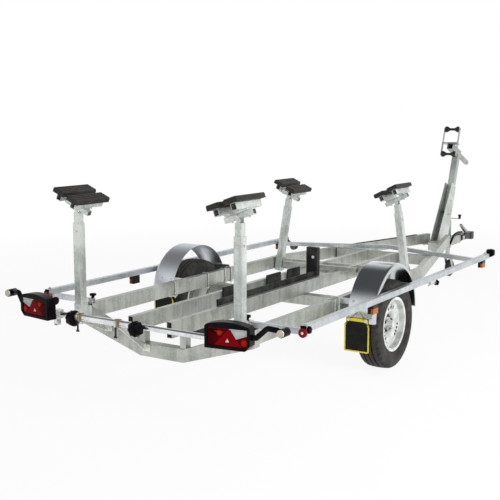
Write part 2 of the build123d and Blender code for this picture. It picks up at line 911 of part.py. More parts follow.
# Tail lamp lenses
with BuildPart() as lamp_lenses:
    for side, corner, run_out, inward in lamp_sides:
        lens_face = corner + inward * lens_recess
        with BuildSketch(place(lens_face, run_out.cross(Vector(0, 0, 1)), run_out)):
            with Locations((lamp_width / 2, (lamp_bottom + lamp_side_top) / 2)):
                RectangleRounded(
                    lamp_width - 2 * lamp_rim - 2 * touch_gap,
                    lamp_side_top - lamp_bottom - 2 * lamp_rim - 2 * touch_gap,
                    lens_corner - touch_gap,
                )
        extrude(amount=-side * (lens_pocket - lens_recess - touch_gap))
write_piece(lamp_lenses.part, "lamp_lenses")

# Outline markers on rubber stalks, and the front marker lamps on the side rails
marker_plug_size = side_rail_size - 2 * side_rail_wall - 2 * touch_gap
with BuildPart() as marker_bodies:
    for side, corner, run_out, inward in lamp_sides:
        stalk_foot = corner + run_out * (lamp_width + touch_gap) + inward * (lamp_depth / 2)
        marker_middle_y = marker_rear + marker_length / 2
        stalk_end_x = marker_x - marker_stalk_radius
        stalk = (
            stalk_foot + Vector(0, 0, marker_stalk_start_z),
            stalk_foot + run_out * marker_stalk_radius * 2 + Vector(0, 0, marker_stalk_start_z),
            Vector(side * marker_stalk_rise_x, (stalk_foot.Y + marker_middle_y) / 2, marker_stalk_top_z),
            Vector(side * stalk_end_x, marker_middle_y, marker_z + marker_stalk_radius / 2),
        )
        with BuildLine() as stalk_line:
            FilletPolyline(*stalk, radius=marker_stalk_bend)
        with BuildSketch(Plane(origin=stalk[0], z_dir=stalk[1] - stalk[0])):
            Circle(marker_stalk_radius)
        sweep(path=stalk_line.line)
        add(
            rod(
                (side * marker_x, marker_rear, marker_z),
                (side * marker_x, marker_rear + marker_length, marker_z),
                marker_radius,
            )
        )
    for side, step_out, step_up in front_marker_table:
        lamp_x = side_rail_x + step_out
        lamp_z = side_rail_z + step_up
        plug_front = side_rail_front + front_marker_plug_reach
        with Locations((side * side_rail_x, plug_front - front_marker_plug_length / 2, side_rail_z)):
            Box(marker_plug_size, front_marker_plug_length, marker_plug_size)
        strut_start = (side * side_rail_x, plug_front - marker_stalk_radius, side_rail_z)
        strut_end = (side * lamp_x, front_marker_y + front_marker_length / 2, lamp_z)
        add(rod(strut_start, strut_end, marker_stalk_radius))
        add(
            rod(
                (side * lamp_x, front_marker_y, lamp_z),
                (side * lamp_x, front_marker_y + front_marker_length, lamp_z),
                front_marker_radius,
            )
        )
write_piece(marker_bodies.part, "marker_bodies")

with BuildPart() as marker_lenses:
    for side in (-1, 1):
        lens_start = marker_rear - touch_gap
        add(
            rod(
                (side * marker_x, lens_start, marker_z),
                (side * marker_x, lens_start - marker_lens_thickness, marker_z),
                marker_lens_radius,
            )
        )
write_piece(marker_lenses.part, "marker_lenses")

# Red reflectors on the side rails' rear ends
with BuildPart() as rear_reflectors:
    for side in (-1, 1):
        reflector_z = side_rail_z - tail_reflector_drop
        add(
            rod(
                (side * side_rail_x, side_rail_rear - tail_reflector_depth, reflector_z),
                (side * side_rail_x, side_rail_rear, reflector_z),
                tail_reflector_radius,
            )
        )
write_piece(rear_reflectors.part, "rear_reflectors")

# Side reflectors under the side rails: a holder with a back wall, and the amber lens on its outer side
with BuildPart() as side_reflectors:
    side_rail_floor = side_rail_z - side_rail_size / 2
    holder_floor = side_rail_floor - reflector_holder_height
    holder_z = side_rail_floor - reflector_holder_height / 2
    lens_z = holder_floor - touch_gap - reflector_lens_height / 2
    back_wall = reflector_holder_width - reflector_lens_depth - touch_gap
    back_wall_x = side_rail_x - (reflector_holder_width - back_wall) / 2
    lens_x = side_rail_x + (reflector_holder_width - reflector_lens_depth) / 2
    for side in (-1, 1):
        for reflector_y in side_reflector_places:
            with Locations((side * side_rail_x, reflector_y, holder_z)):
                Box(reflector_holder_width, reflector_length, reflector_holder_height)
            with Locations((side * back_wall_x, reflector_y, holder_floor - reflector_lens_height / 2)):
                Box(back_wall, reflector_length, reflector_lens_height)
            with Locations((side * lens_x, reflector_y, lens_z)):
                Box(reflector_lens_depth, reflector_length, reflector_lens_height)
write_piece(side_reflectors.part, "side_reflectors")

# Hull supports: sockets, outer tubes, sliding tubes, rocking heads and pads
with BuildPart() as post_tubes:
    for name, side, foot_x, post_y, lean, top_z, pivot_z, tilt in support_table:
        slant = side * tan(radians(lean))
        add(
            box_tube(
                (side * foot_x, post_y, post_foot_z),
                (side * foot_x - slant * (top_z - post_foot_z), post_y, top_z),
                post_outer,
                post_outer,
                post_wall,
                (1, 0, 0),
            )
        )
write_piece(post_tubes.part, "post_tubes")

with BuildPart() as post_sockets:
    for name, side, foot_x, post_y, lean, top_z, pivot_z, tilt in support_table:
        slant = side * tan(radians(lean))
        socket_top = rail_top + socket_rise
        add(
            box_tube(
                (side * foot_x, post_y, post_foot_z),
                (side * foot_x - slant * (socket_top - post_foot_z), post_y, socket_top),
                socket_size,
                socket_size,
                (socket_size - post_outer) / 2 - touch_gap,
                (1, 0, 0),
            )
        )
        if lean == 0:
            plate_front = beam_rear - touch_gap
            plate_rear = post_y + socket_size / 2 - 1.0
            with Locations((side * foot_x, (plate_rear + plate_front) / 2, (post_foot_z + socket_top) / 2)):
                Box(socket_plate_width, plate_front - plate_rear, rail_height - 4.0)
write_piece(post_sockets.part, "post_sockets")

for name, side, foot_x, post_y, lean, top_z, pivot_z, tilt in support_table:
    slant = side * tan(radians(lean))
    climb = Vector(-slant, 0, 1).normalized()
    foot = Vector(side * foot_x, post_y, post_foot_z)
    pivot = foot + climb * ((pivot_z - post_foot_z) / climb.Z)
    tube_top = pivot - climb * pivot_rise
    tube_bottom = tube_top - climb * (pivot_z - top_z - pivot_rise + support_overlap)
    sideways = climb.cross(Vector(0, 1, 0))
    ear_offset = crossbar_size / 2 + running_gap + ear_thickness / 2
    with BuildPart() as support_tube:
        add(box_tube(tube_bottom, tube_top, post_inner, post_inner, post_wall, (1, 0, 0)))
        for ear in (-1, 1):
            ear_foot = tube_top + Vector(0, ear * ear_offset, 0) - climb * ear_root
            ear_top = pivot + Vector(0, ear * ear_offset, 0) + climb * ear_head
            add(bar(ear_foot, ear_top, ear_thickness, ear_width, sideways))
        pin_reach = Vector(0, ear_offset, 0)
        add(rod(pivot - pin_reach, pivot + pin_reach, pivot_radius))
    write_piece(support_tube.part, f"support_tube_{name}")

    turn = radians(tilt)
    outward = Vector(side * cos(turn), 0, sin(turn))
    normal = Vector(-side * sin(turn), 0, cos(turn))
    saddle_level = crossbar_size / 2 + saddle_thickness / 2
    carrier_level = crossbar_size / 2 + saddle_thickness + carrier_height / 2
    pad_level = crossbar_size / 2 + saddle_thickness + carrier_height
    with BuildPart() as head_frame:
        bar_start = pivot - outward * (crossbar_length / 2)
        bar_end = pivot + outward * (crossbar_length / 2)
        add(box_tube(bar_start, bar_end, crossbar_size, crossbar_size, crossbar_wall, normal))
        for spread in (-carrier_spread, carrier_spread):
            saddle_middle = pivot + outward * spread + normal * saddle_level
            saddle_reach = Vector(0, saddle_length / 2, 0)
            saddle_rear = saddle_middle - saddle_reach
            saddle_front = saddle_middle + saddle_reach
            add(bar(saddle_rear, saddle_front, carrier_width, saddle_thickness, normal))
            carrier_middle = pivot + outward * spread + normal * carrier_level
            carrier_reach = Vector(0, carrier_length / 2, 0)
            add(
                box_tube(
                    carrier_middle - carrier_reach,
                    carrier_middle + carrier_reach,
                    carrier_width,
                    carrier_height,
                    crossbar_wall,
                    normal,
                )
            )
        bore_reach = Vector(0, crossbar_size, 0)
        add(rod(pivot - bore_reach, pivot + bore_reach, pivot_radius + pivot_fit), mode=Mode.SUBTRACT)
    write_piece(head_frame.part, f"head_frame_{name}")

    with BuildPart() as head_pads:
        for spread in (-carrier_spread, carrier_spread):
            pad_start = pivot + outward * spread + normal * pad_level - Vector(0, pad_length / 2, 0)
            pad_plane = place(pad_start, (0, 1, 0), outward)
            with BuildSketch(pad_plane):
                with Locations((0, -side * pad_thickness / 2)):
                    Rectangle(pad_width, pad_thickness)
                to_the_top = Axis((0, 0, 0), (0, -side, 0))
                chamfer(vertices().sort_by(to_the_top)[-2:], pad_bevel)
            extrude(amount=pad_length)
            with BuildSketch(pad_plane):
                for groove in range(pad_groove_count):
                    groove_x = (groove - (pad_groove_count - 1) / 2) * pad_groove_pitch
                    with Locations((groove_x, -side * (pad_thickness - pad_groove_depth / 2))):
                        Rectangle(pad_groove_width, pad_groove_depth)
            extrude(amount=pad_length, mode=Mode.SUBTRACT)
    write_piece(head_pads.part, f"head_pads_{name}")

# Bow post: a channel open to the rear, the sliding tube, and on it a box with the bar and the rollers
bow_up = Vector(0, sin(radians(bow_lean)), cos(radians(bow_lean)))
bow_ahead = Vector(0, cos(radians(bow_lean)), -sin(radians(bow_lean)))
bow_foot = Vector(0, bow_foot_y, bow_foot_z)
bow_web_back = bow_tube_size / 2 + touch_gap
bow_web_front = bow_web_back + bow_channel_wall


def side_view(*corners):
    """Corner points as steps along and above the bow post's foot."""
    return [(point.Y - bow_foot_y, point.Z - bow_foot_z) for point in corners]


with BuildPart() as bow_channel:
    channel_top = bow_foot + bow_up * bow_channel_length
    with BuildSketch(place((-bow_channel_width / 2, bow_foot_y, bow_foot_z), (1, 0, 0), (0, 1, 0))):
        with BuildLine():
            channel_outline = side_view(
                Vector(0, bow_foot_y - bow_flange_low / cos(radians(bow_lean)), bow_foot_z),
                Vector(0, bow_foot_y + bow_web_front / cos(radians(bow_lean)), bow_foot_z),
                channel_top + bow_ahead * bow_web_front,
                channel_top - bow_ahead * bow_flange_high,
            )
            Polyline(*channel_outline, close=True)
        make_face()
    extrude(amount=bow_channel_width)
    cut_side = -bow_channel_width / 2 + bow_channel_wall
    with BuildSketch(place((cut_side, bow_foot_y, bow_foot_z), (1, 0, 0), (0, 1, 0))):
        with BuildLine():
            cut_rear = bow_flange_low + bow_channel_length
            cut_outline = side_view(
                bow_foot + bow_ahead * bow_web_back - bow_up * bow_channel_length,
                channel_top + bow_ahead * bow_web_back + bow_up * bow_channel_length,
                channel_top - bow_ahead * cut_rear + bow_up * bow_channel_length,
                bow_foot - bow_ahead * cut_rear - bow_up * bow_channel_length,
            )
            Polyline(*cut_outline, close=True)
        make_face()
    extrude(amount=bow_channel_width - 2 * bow_channel_wall, mode=Mode.SUBTRACT)
    plate_middle_y = bow_foot_y - (bow_flange_low - bow_web_front) / 2
    with Locations((0, plate_middle_y, bow_foot_z - bow_plate / 2)):
        Box(housing_width, bow_flange_low + bow_web_front + 2 * bow_plate, bow_plate)
write_piece(bow_channel.part, "bow_post_lower")

bow_tube_start = bow_foot + bow_up * bow_tube_bottom
bow_tube_end = bow_foot + bow_up * bow_tube_top
with BuildPart() as bow_tube:
    add(box_tube(bow_tube_start, bow_tube_end, bow_tube_size, bow_tube_size, bow_tube_wall, (0, 1, 0)))
write_piece(bow_tube.part, "bow_post_upper")

box_middle = bow_tube_end + bow_up * (bow_box_size / 2)
box_rear = box_middle - bow_ahead * bow_box_rear
box_front = box_middle + bow_ahead * bow_box_front
bow_bar_end = box_middle + bow_ahead * bow_bar_front
roller_plate_x = bow_roller_length / 2 + running_gap + bow_plate_thickness
roller_low = box_rear - bow_ahead * bow_roller_back - bow_up * bow_roller_drop
roller_high = roller_low + bow_up * bow_roller_gap
with BuildPart() as bow_roller_frame:
    add(box_tube(box_rear, box_front, bow_box_size, bow_box_size, bow_tube_wall, bow_up))
    add(bar(box_front, box_front + bow_ahead * bow_plate_thickness, bow_box_size, bow_box_size, bow_up))
    add(box_tube(box_front, bow_bar_end, bow_bar_size, bow_bar_size, bow_bar_wall, bow_up))
    shelf_level = (bow_box_size + bow_plate_thickness) / 2
    shelf_middle = box_rear + bow_up * shelf_level + bow_ahead * (bow_plate_width / 2)
    shelf_reach = Vector(roller_plate_x, 0, 0)
    shelf_left = shelf_middle - shelf_reach
    shelf_right = shelf_middle + shelf_reach
    add(bar(shelf_left, shelf_right, 2 * bow_plate_width, bow_plate_thickness, bow_up))
    for side in (-1, 1):
        plate_shift = Vector(side * roller_plate_x, 0, 0)
        plate_reach = bow_up * (bow_plate_width / 2)
        add(
            bar(
                roller_low - plate_reach + plate_shift,
                roller_high + plate_reach + plate_shift,
                bow_plate_width,
                bow_plate_thickness,
                (1, 0, 0),
            )
        )
    pin_reach = Vector(roller_plate_x + bow_plate_thickness, 0, 0)
    for roller_centre in (roller_low, roller_high):
        add(rod(roller_centre - pin_reach, roller_centre + pin_reach, bow_pin_radius))
write_piece(bow_roller_frame.part, "bow_roller_frame")

roller_half = bow_roller_length / 2
roller_side = (
    # step from the middle, radius; from the end face to the waist
    (roller_half, bow_pin_radius + bow_pin_fit),
    (roller_half, bow_roller_end_radius - 5.0),
    (roller_half - 6.0, bow_roller_end_radius),
    (roller_half - 20.0, bow_roller_end_radius),
    (roller_half - 52.0, bow_roller_waist_radius),
)
for level, roller_centre in (("low", roller_low), ("high", roller_high)):
    with BuildPart() as bow_roller:
        with BuildSketch(place(roller_centre, (0, -1, 0), (1, 0, 0))):
            with BuildLine():
                Polyline(*roller_side, *[(-step, radius) for step, radius in roller_side[::-1]], close=True)
            make_face()
        revolve(axis=Axis(roller_centre, (1, 0, 0)))
    write_piece(bow_roller.part, f"bow_roller_{level}")

# Overrun housing under the drawbar arms, its bellows and the coupling head
with BuildPart() as overrun_housing:
    with Locations((0, (housing_rear + housing_front) / 2, drawbar_z)):
        Box(housing_width, housing_front - housing_rear, housing_height)
    fillet(edges().filter_by(Axis.Y).group_by(Axis.Z)[0], housing_corner)
    with Locations((0, drawbar_plate_y, rail_bottom - drawbar_plate_thickness / 2)):
        Box(drawbar_plate_width, drawbar_plate_depth, drawbar_plate_thickness)
write_piece(overrun_housing.part, "overrun_housing")

with BuildPart() as overrun_bellows:
    ring_pitch = bellows_length / bellows_rings
    with BuildSketch(place((0, housing_front, drawbar_z), (1, 0, 0), (0, 1, 0))):
        with BuildLine():
            fold_points = [(0, 0)]
            for ring in range(bellows_rings):
                fold_points.append((ring * ring_pitch, bellows_radius - bellows_fold))
                fold_points.append(((ring + 0.5) * ring_pitch, bellows_radius))
            fold_points.append((bellows_length, bellows_radius - bellows_fold))
            fold_points.append((bellows_length, 0))
            Polyline(*fold_points, close=True)
        make_face()
    revolve(axis=Axis((0, 0, drawbar_z), (0, 1, 0)))
write_piece(overrun_bellows.part, "overrun_bellows")

# Coupling head: its side view cut out of a plan that widens to the round ball cup
head_rear = housing_front + bellows_length
ball_y = coupling_nose - ball_set_back
cup_rear = coupling_length - coupling_cup_length
with BuildPart() as coupling_head:
    with BuildSketch(place((-coupling_width / 2, head_rear, drawbar_z), (1, 0, 0), (0, 1, 0))):
        with BuildLine():
            Polyline(
                (cup_rear - 150.0, coupling_top),
                (0, coupling_top - 4.0),
                (0, 8.0 - coupling_top),
                (cup_rear - 30.0, 8.0 - coupling_top),
                (cup_rear, -coupling_cup_floor),
                (coupling_length, -coupling_cup_floor),
                (coupling_length, -10.0),
            )
            ThreePointArc(
                (coupling_length, -10.0),
                (coupling_length - 18.0, 24.0),
                (coupling_length - 55.0, coupling_top + 8.0),
            )
            Line((coupling_length - 55.0, coupling_top + 8.0), (cup_rear - 150.0, coupling_top))
        make_face()
    extrude(amount=coupling_width)
    with BuildSketch(Plane.XY.offset(drawbar_z - coupling_cup_floor)):
        with BuildLine():
            cup_half = coupling_width / 2
            Polyline(
                (-cup_half, ball_y),
                (-cup_half, head_rear + cup_rear),
                (-coupling_neck / 2, head_rear + cup_rear - 40.0),
                (-coupling_neck / 2, head_rear),
                (coupling_neck / 2, head_rear),
                (coupling_neck / 2, head_rear + cup_rear - 40.0),
                (cup_half, head_rear + cup_rear),
                (cup_half, ball_y),
            )
            ThreePointArc((cup_half, ball_y), (0, coupling_nose), (-cup_half, ball_y))
        make_face()
    extrude(amount=coupling_cup_floor + coupling_top + 8.0, mode=Mode.INTERSECT)
    with Locations((0, ball_y, drawbar_z - ball_drop)):
        Sphere(ball_radius, mode=Mode.SUBTRACT)
    with BuildSketch(place((0, ball_y, drawbar_z - ball_drop), (0, 0, -1), (1, 0, 0))):
        Circle(ball_radius)
    extrude(amount=coupling_cup_floor, mode=Mode.SUBTRACT)
write_piece(coupling_head.part, "coupling_head")

# Coupling handle: rises from the head and sweeps back over it
handle_base = coupling_top + 8.0 + touch_gap
with BuildPart() as coupling_handle:
    with BuildSketch(place((-handle_width / 2, coupling_nose, drawbar_z), (1, 0, 0), (0, 1, 0))):
        with BuildLine():
            Polyline(
                (-210.0, handle_base - 6.0),
                (-150.0, handle_base),
                (-185.0, handle_base + 30.0),
            )
            ThreePointArc(
                (-185.0, handle_base + 30.0),
                (-262.0, handle_base + 62.0),
                (-356.0, handle_base + 112.0),
            )
            Line((-356.0, handle_base + 112.0), (-366.0, handle_base + 96.0))
            ThreePointArc(
                (-366.0, handle_base + 96.0),
                (-276.0, handle_base + 36.0),
                (-210.0, handle_base + 2.0),
            )
            Line((-210.0, handle_base + 2.0), (-210.0, handle_base - 6.0))
        make_face()
    extrude(amount=handle_width)
write_piece(coupling_handle.part, "coupling_handle")

# Handbrake lever beside the housing, bent forward over the coupling
lever_x = housing_width / 2 + touch_gap + lever_thickness / 2
lever_bends = (
    # place along the trailer, height
    (housing_front - 350.0, drawbar_z - 28.0),
    (housing_front - 250.0, drawbar_z + 62.0),
    (housing_front + 20.0, drawbar_z + 78.0),
)
with BuildPart() as handbrake_lever:
    for (start_y, start_z), (end_y, end_z) in zip(lever_bends, lever_bends[1:]):
        add(bar((lever_x, start_y, start_z), (lever_x, end_y, end_z), lever_thickness, lever_width))
    for bend_y, bend_z in lever_bends:
        lever_side = Vector(lever_thickness / 2, 0, 0)
        bend = Vector(lever_x, bend_y, bend_z)
        add(rod(bend - lever_side, bend + lever_side, lever_width / 2))
write_piece(handbrake_lever.part, "handbrake_lever")

# Jockey wheel: sleeve with clamp, sliding leg, castor fork, wheel and crank
with BuildPart() as jockey_sleeve:
    sleeve_start = (jockey_x, jockey_y, jockey_sleeve_bottom)
    sleeve_end = (jockey_x, jockey_y, jockey_sleeve_top)
    add(rod(sleeve_start, sleeve_end, jockey_sleeve_radius))
    clamp_span = -housing_width / 2 - jockey_x
    with Locations((jockey_x + clamp_span / 2, jockey_y, drawbar_z)):
        Box(clamp_span, jockey_clamp_depth, jockey_clamp_height)
    with BuildSketch(Plane((jockey_x, jockey_y, jockey_sleeve_bottom - 1.0))):
        Circle(jockey_leg_radius + running_gap)
    extrude(amount=jockey_sleeve_top - jockey_sleeve_bottom - 3.0, mode=Mode.SUBTRACT)
write_piece(jockey_sleeve.part, "jockey_sleeve")

crank_foot = Vector(jockey_x, jockey_y, jockey_sleeve_top)
crank_elbow = crank_foot + Vector(0, 0, crank_rise)
crank_grip = crank_elbow + Vector(crank_reach, 0, 0)
with BuildPart() as jockey_crank:
    add(rod(crank_foot, crank_elbow + Vector(0, 0, crank_arm_radius), crank_stem_radius))
    add(rod(crank_elbow, crank_grip, crank_arm_radius))
    add(
        rod(
            crank_grip - Vector(0, 0, crank_arm_radius),
            crank_grip + Vector(0, 0, crank_grip_height),
            crank_grip_radius,
        )
    )
write_piece(jockey_crank.part, "jockey_crank")

with BuildPart() as jockey_leg:
    leg_start = (jockey_x, jockey_y, jockey_leg_bottom)
    leg_end = (jockey_x, jockey_y, jockey_leg_top)
    add(rod(leg_start, leg_end, jockey_leg_radius))
write_piece(jockey_leg.part, "jockey_leg")

jockey_axle_y = jockey_y + jockey_trail
fork_top = jockey_leg_bottom - running_gap
with BuildPart() as jockey_fork:
    with Locations((jockey_x, jockey_y + 20.0, fork_top - jockey_fork_plate / 2)):
        Box(jockey_fork_gap + 2 * jockey_fork_plate, 90.0, jockey_fork_plate)
    for side in (-1, 1):
        cheek_x = jockey_x + side * (jockey_fork_gap + jockey_fork_plate) / 2 - jockey_fork_plate / 2
        with BuildSketch(place((cheek_x, jockey_y, 0), (1, 0, 0), (0, 1, 0))):
            with BuildLine():
                Polyline(
                    (-25.0, fork_top),
                    (65.0, fork_top),
                    (jockey_trail + 18.0, jockey_wheel_radius),
                    (jockey_trail + 6.0, jockey_wheel_radius - 18.0),
                    (jockey_trail - 12.0, jockey_wheel_radius - 14.0),
                    close=True,
                )
            make_face()
        extrude(amount=jockey_fork_plate)
    axle_reach = Vector(jockey_fork_gap / 2 + 2 * jockey_fork_plate, 0, 0)
    axle_middle = Vector(jockey_x, jockey_axle_y, jockey_wheel_radius)
    add(rod(axle_middle - axle_reach, axle_middle + axle_reach, jockey_axle_radius))
write_piece(jockey_fork.part, "jockey_fork")

jockey_half = jockey_wheel_width / 2
jockey_wheel_side = (
    # step from the middle, radius; from the hub's bore to the tread
    (jockey_half + 2.0, jockey_axle_radius + jockey_axle_fit),
    (jockey_half + 2.0, 24.0),
    (jockey_half - 12.0, 30.0),
    (jockey_half - 12.0, 60.0),
    (jockey_half, 66.0),
    (jockey_half, jockey_wheel_radius - 14.0),
    (jockey_half - 12.0, jockey_wheel_radius),
)
with BuildPart() as jockey_wheel:
    with BuildSketch(place((jockey_x, jockey_axle_y, jockey_wheel_radius), (0, -1, 0), (1, 0, 0))):
        with BuildLine():
            far_side = [(-step, radius) for step, radius in jockey_wheel_side[::-1]]
            Polyline(*jockey_wheel_side, *far_side, close=True)
        make_face()
    revolve(axis=Axis((jockey_x, jockey_axle_y, jockey_wheel_radius), (1, 0, 0)))
write_piece(jockey_wheel.part, "jockey_wheel")

# Keel guides inside the keel rails
with BuildPart() as keel_plank:
    plank_start, plank_end = plank_y
    with Locations(
        (
            keel_inner - plank_thickness / 2,
            (plank_start + plank_end) / 2,
            (rail_bottom + plank_top) / 2,
        )
    ):
        Box(plank_thickness, plank_end - plank_start, plank_top - rail_bottom)
write_piece(keel_plank.part, "keel_plank")

with BuildPart() as keel_guides:
    for guide_start, guide_end in left_guide_places:
        with Locations(
            (
                -keel_inner + plank_thickness / 2,
                (guide_start + guide_end) / 2,
                (rail_bottom + left_guide_top) / 2,
            )
        ):
            Box(plank_thickness, guide_end - guide_start, left_guide_top - rail_bottom)
    with Locations((keel_inner - tall_guide_width / 2, tall_guide_y, (rail_bottom + tall_guide_top) / 2)):
        Box(tall_guide_width, tall_guide_depth, tall_guide_top - rail_bottom)
write_piece(keel_guides.part, "keel_guides")

# Wiring lead along the left drawbar arm
lead_level = rail_top + lead_radius + touch_gap
lead_route = []
for lead_back, step_in in lead_table:
    lead_y = arm_tip_y - lead_back
    arm_x = rail_x - arm_slope * (lead_y - rail_bend)
    lead_route.append((step_in - arm_x, lead_y, lead_level))
with BuildPart() as wiring_lead:
    with BuildLine() as lead_line:
        FilletPolyline(*lead_route, radius=lead_bend)
    with BuildSketch(Plane(origin=lead_route[0], z_dir=Vector(lead_route[1]) - Vector(lead_route[0]))):
        Circle(lead_radius)
    sweep(path=lead_line.line)
write_piece(wiring_lead.part, "wiring_lead")
lead_length = sum(edge.length for edge in lead_line.edges())
print("wiring lead", round(lead_length), "mm, bends of radius", lead_bend, "mm")
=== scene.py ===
# %% [markdown]
# # A boat trailer, dressed for its picture
# The trailer's frame, posts, wheels and lamps come as solid bodies with their joints already set.
# This lesson gives them their finishes, adds the small parts that are bolted on last, and sets up
# a pale studio.

# %% Load the frame
import json
import math

import bpy
from mathutils import Matrix, Vector


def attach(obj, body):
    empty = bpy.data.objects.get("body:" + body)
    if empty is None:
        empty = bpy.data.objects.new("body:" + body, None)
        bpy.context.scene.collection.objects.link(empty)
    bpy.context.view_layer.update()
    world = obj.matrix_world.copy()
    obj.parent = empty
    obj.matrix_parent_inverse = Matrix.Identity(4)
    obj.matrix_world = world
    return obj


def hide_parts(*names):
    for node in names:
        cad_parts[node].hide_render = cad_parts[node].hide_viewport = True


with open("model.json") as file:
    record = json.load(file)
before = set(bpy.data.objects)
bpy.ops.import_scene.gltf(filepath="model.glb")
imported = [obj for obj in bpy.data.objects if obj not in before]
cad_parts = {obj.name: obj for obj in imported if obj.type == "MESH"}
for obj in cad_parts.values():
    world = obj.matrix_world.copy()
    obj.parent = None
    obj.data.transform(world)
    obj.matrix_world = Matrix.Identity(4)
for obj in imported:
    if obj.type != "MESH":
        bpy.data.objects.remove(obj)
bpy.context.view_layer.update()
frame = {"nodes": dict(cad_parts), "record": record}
nodes = frame["nodes"]
print("pieces in the frame:", len(nodes))

# %% [markdown]
# ## Places to measure from
# Lengths are in metres, with x to the right, y forward and z up. AXLE is the axle's place along
# the trailer. WHEEL is the right wheel's centre, and the left wheel is its mirror image.

# %% Places and directions
AXLE = -1.1835
WHEEL = (0.838, AXLE - 0.010, 0.317)
WHEEL_SIDES = ((1, "right"), (-1, "left"))
CHASSIS_X = 0.655
SIDE_RAIL_X = 0.997
UP, DOWN, FORWARD, BACKWARD, RIGHT = (0, 0, 1), (0, 0, -1), (0, 1, 0), (0, -1, 0), (1, 0, 0)
print("right wheel's centre:", WHEEL)

# %% [markdown]
# ## The camera
# The photograph was taken from behind the right rear corner, a little above the lamps, through a
# long lens. The camera's place was solved from the trailer's own corners.

# %% Camera
def new_object(name, data):
    """An object for some data, put into the scene."""
    made = bpy.data.objects.new(name, data)
    bpy.context.collection.objects.link(made)
    return made


LENS_MM = 64.73
CAMERA_PLACE = (3.4046, -6.9697, 1.7624)
CAMERA_YAW = 32.68
CAMERA_DIP = 8.39

camera_data = bpy.data.cameras.new("studio_camera")
camera_data.lens = LENS_MM
camera_data.sensor_width = 36.0
camera = new_object("studio_camera", camera_data)
camera.location = CAMERA_PLACE
camera.rotation_euler = (math.radians(90 - CAMERA_DIP), 0, math.radians(CAMERA_YAW))
bpy.context.scene.camera = camera
bpy.context.scene.view_settings.view_transform = "Standard"
print("camera at", CAMERA_PLACE, "with a lens of", LENS_MM, "mm")

# %% [markdown]
# ## Shader maths
# Zinc, rubber and paint all vary a little over their surface. Written as nodes, that variation is
# hard to read, so a small class wraps each value and lets it be added and compared like a number.

# %% Values
def math_node(operation, swap=False):
    """An operator that adds one Math node to the finish of the value it works on."""

    def act(self, other=0.0):
        first, second = (other, self) if swap else (self, other)
        return self.finish.maths(operation, first, second)

    return act


class Value:
    """A number that changes over the surface; arithmetic on it adds Math nodes."""

    def __init__(self, finish, socket):
        self.finish = finish
        self.socket = socket

    __add__ = __radd__ = math_node("ADD")
    __sub__, __rsub__ = math_node("SUBTRACT"), math_node("SUBTRACT", swap=True)
    __mul__ = __rmul__ = math_node("MULTIPLY")
    __lt__, __gt__ = math_node("LESS_THAN"), math_node("GREATER_THAN")
    __abs__ = math_node("ABSOLUTE")


# %% [markdown]
# ## Finishes
# A finish is one material. Constant numbers go straight on the shader's sockets, and what varies
# comes from patterns read in the object's own coordinates, so the pattern stays put on the metal.

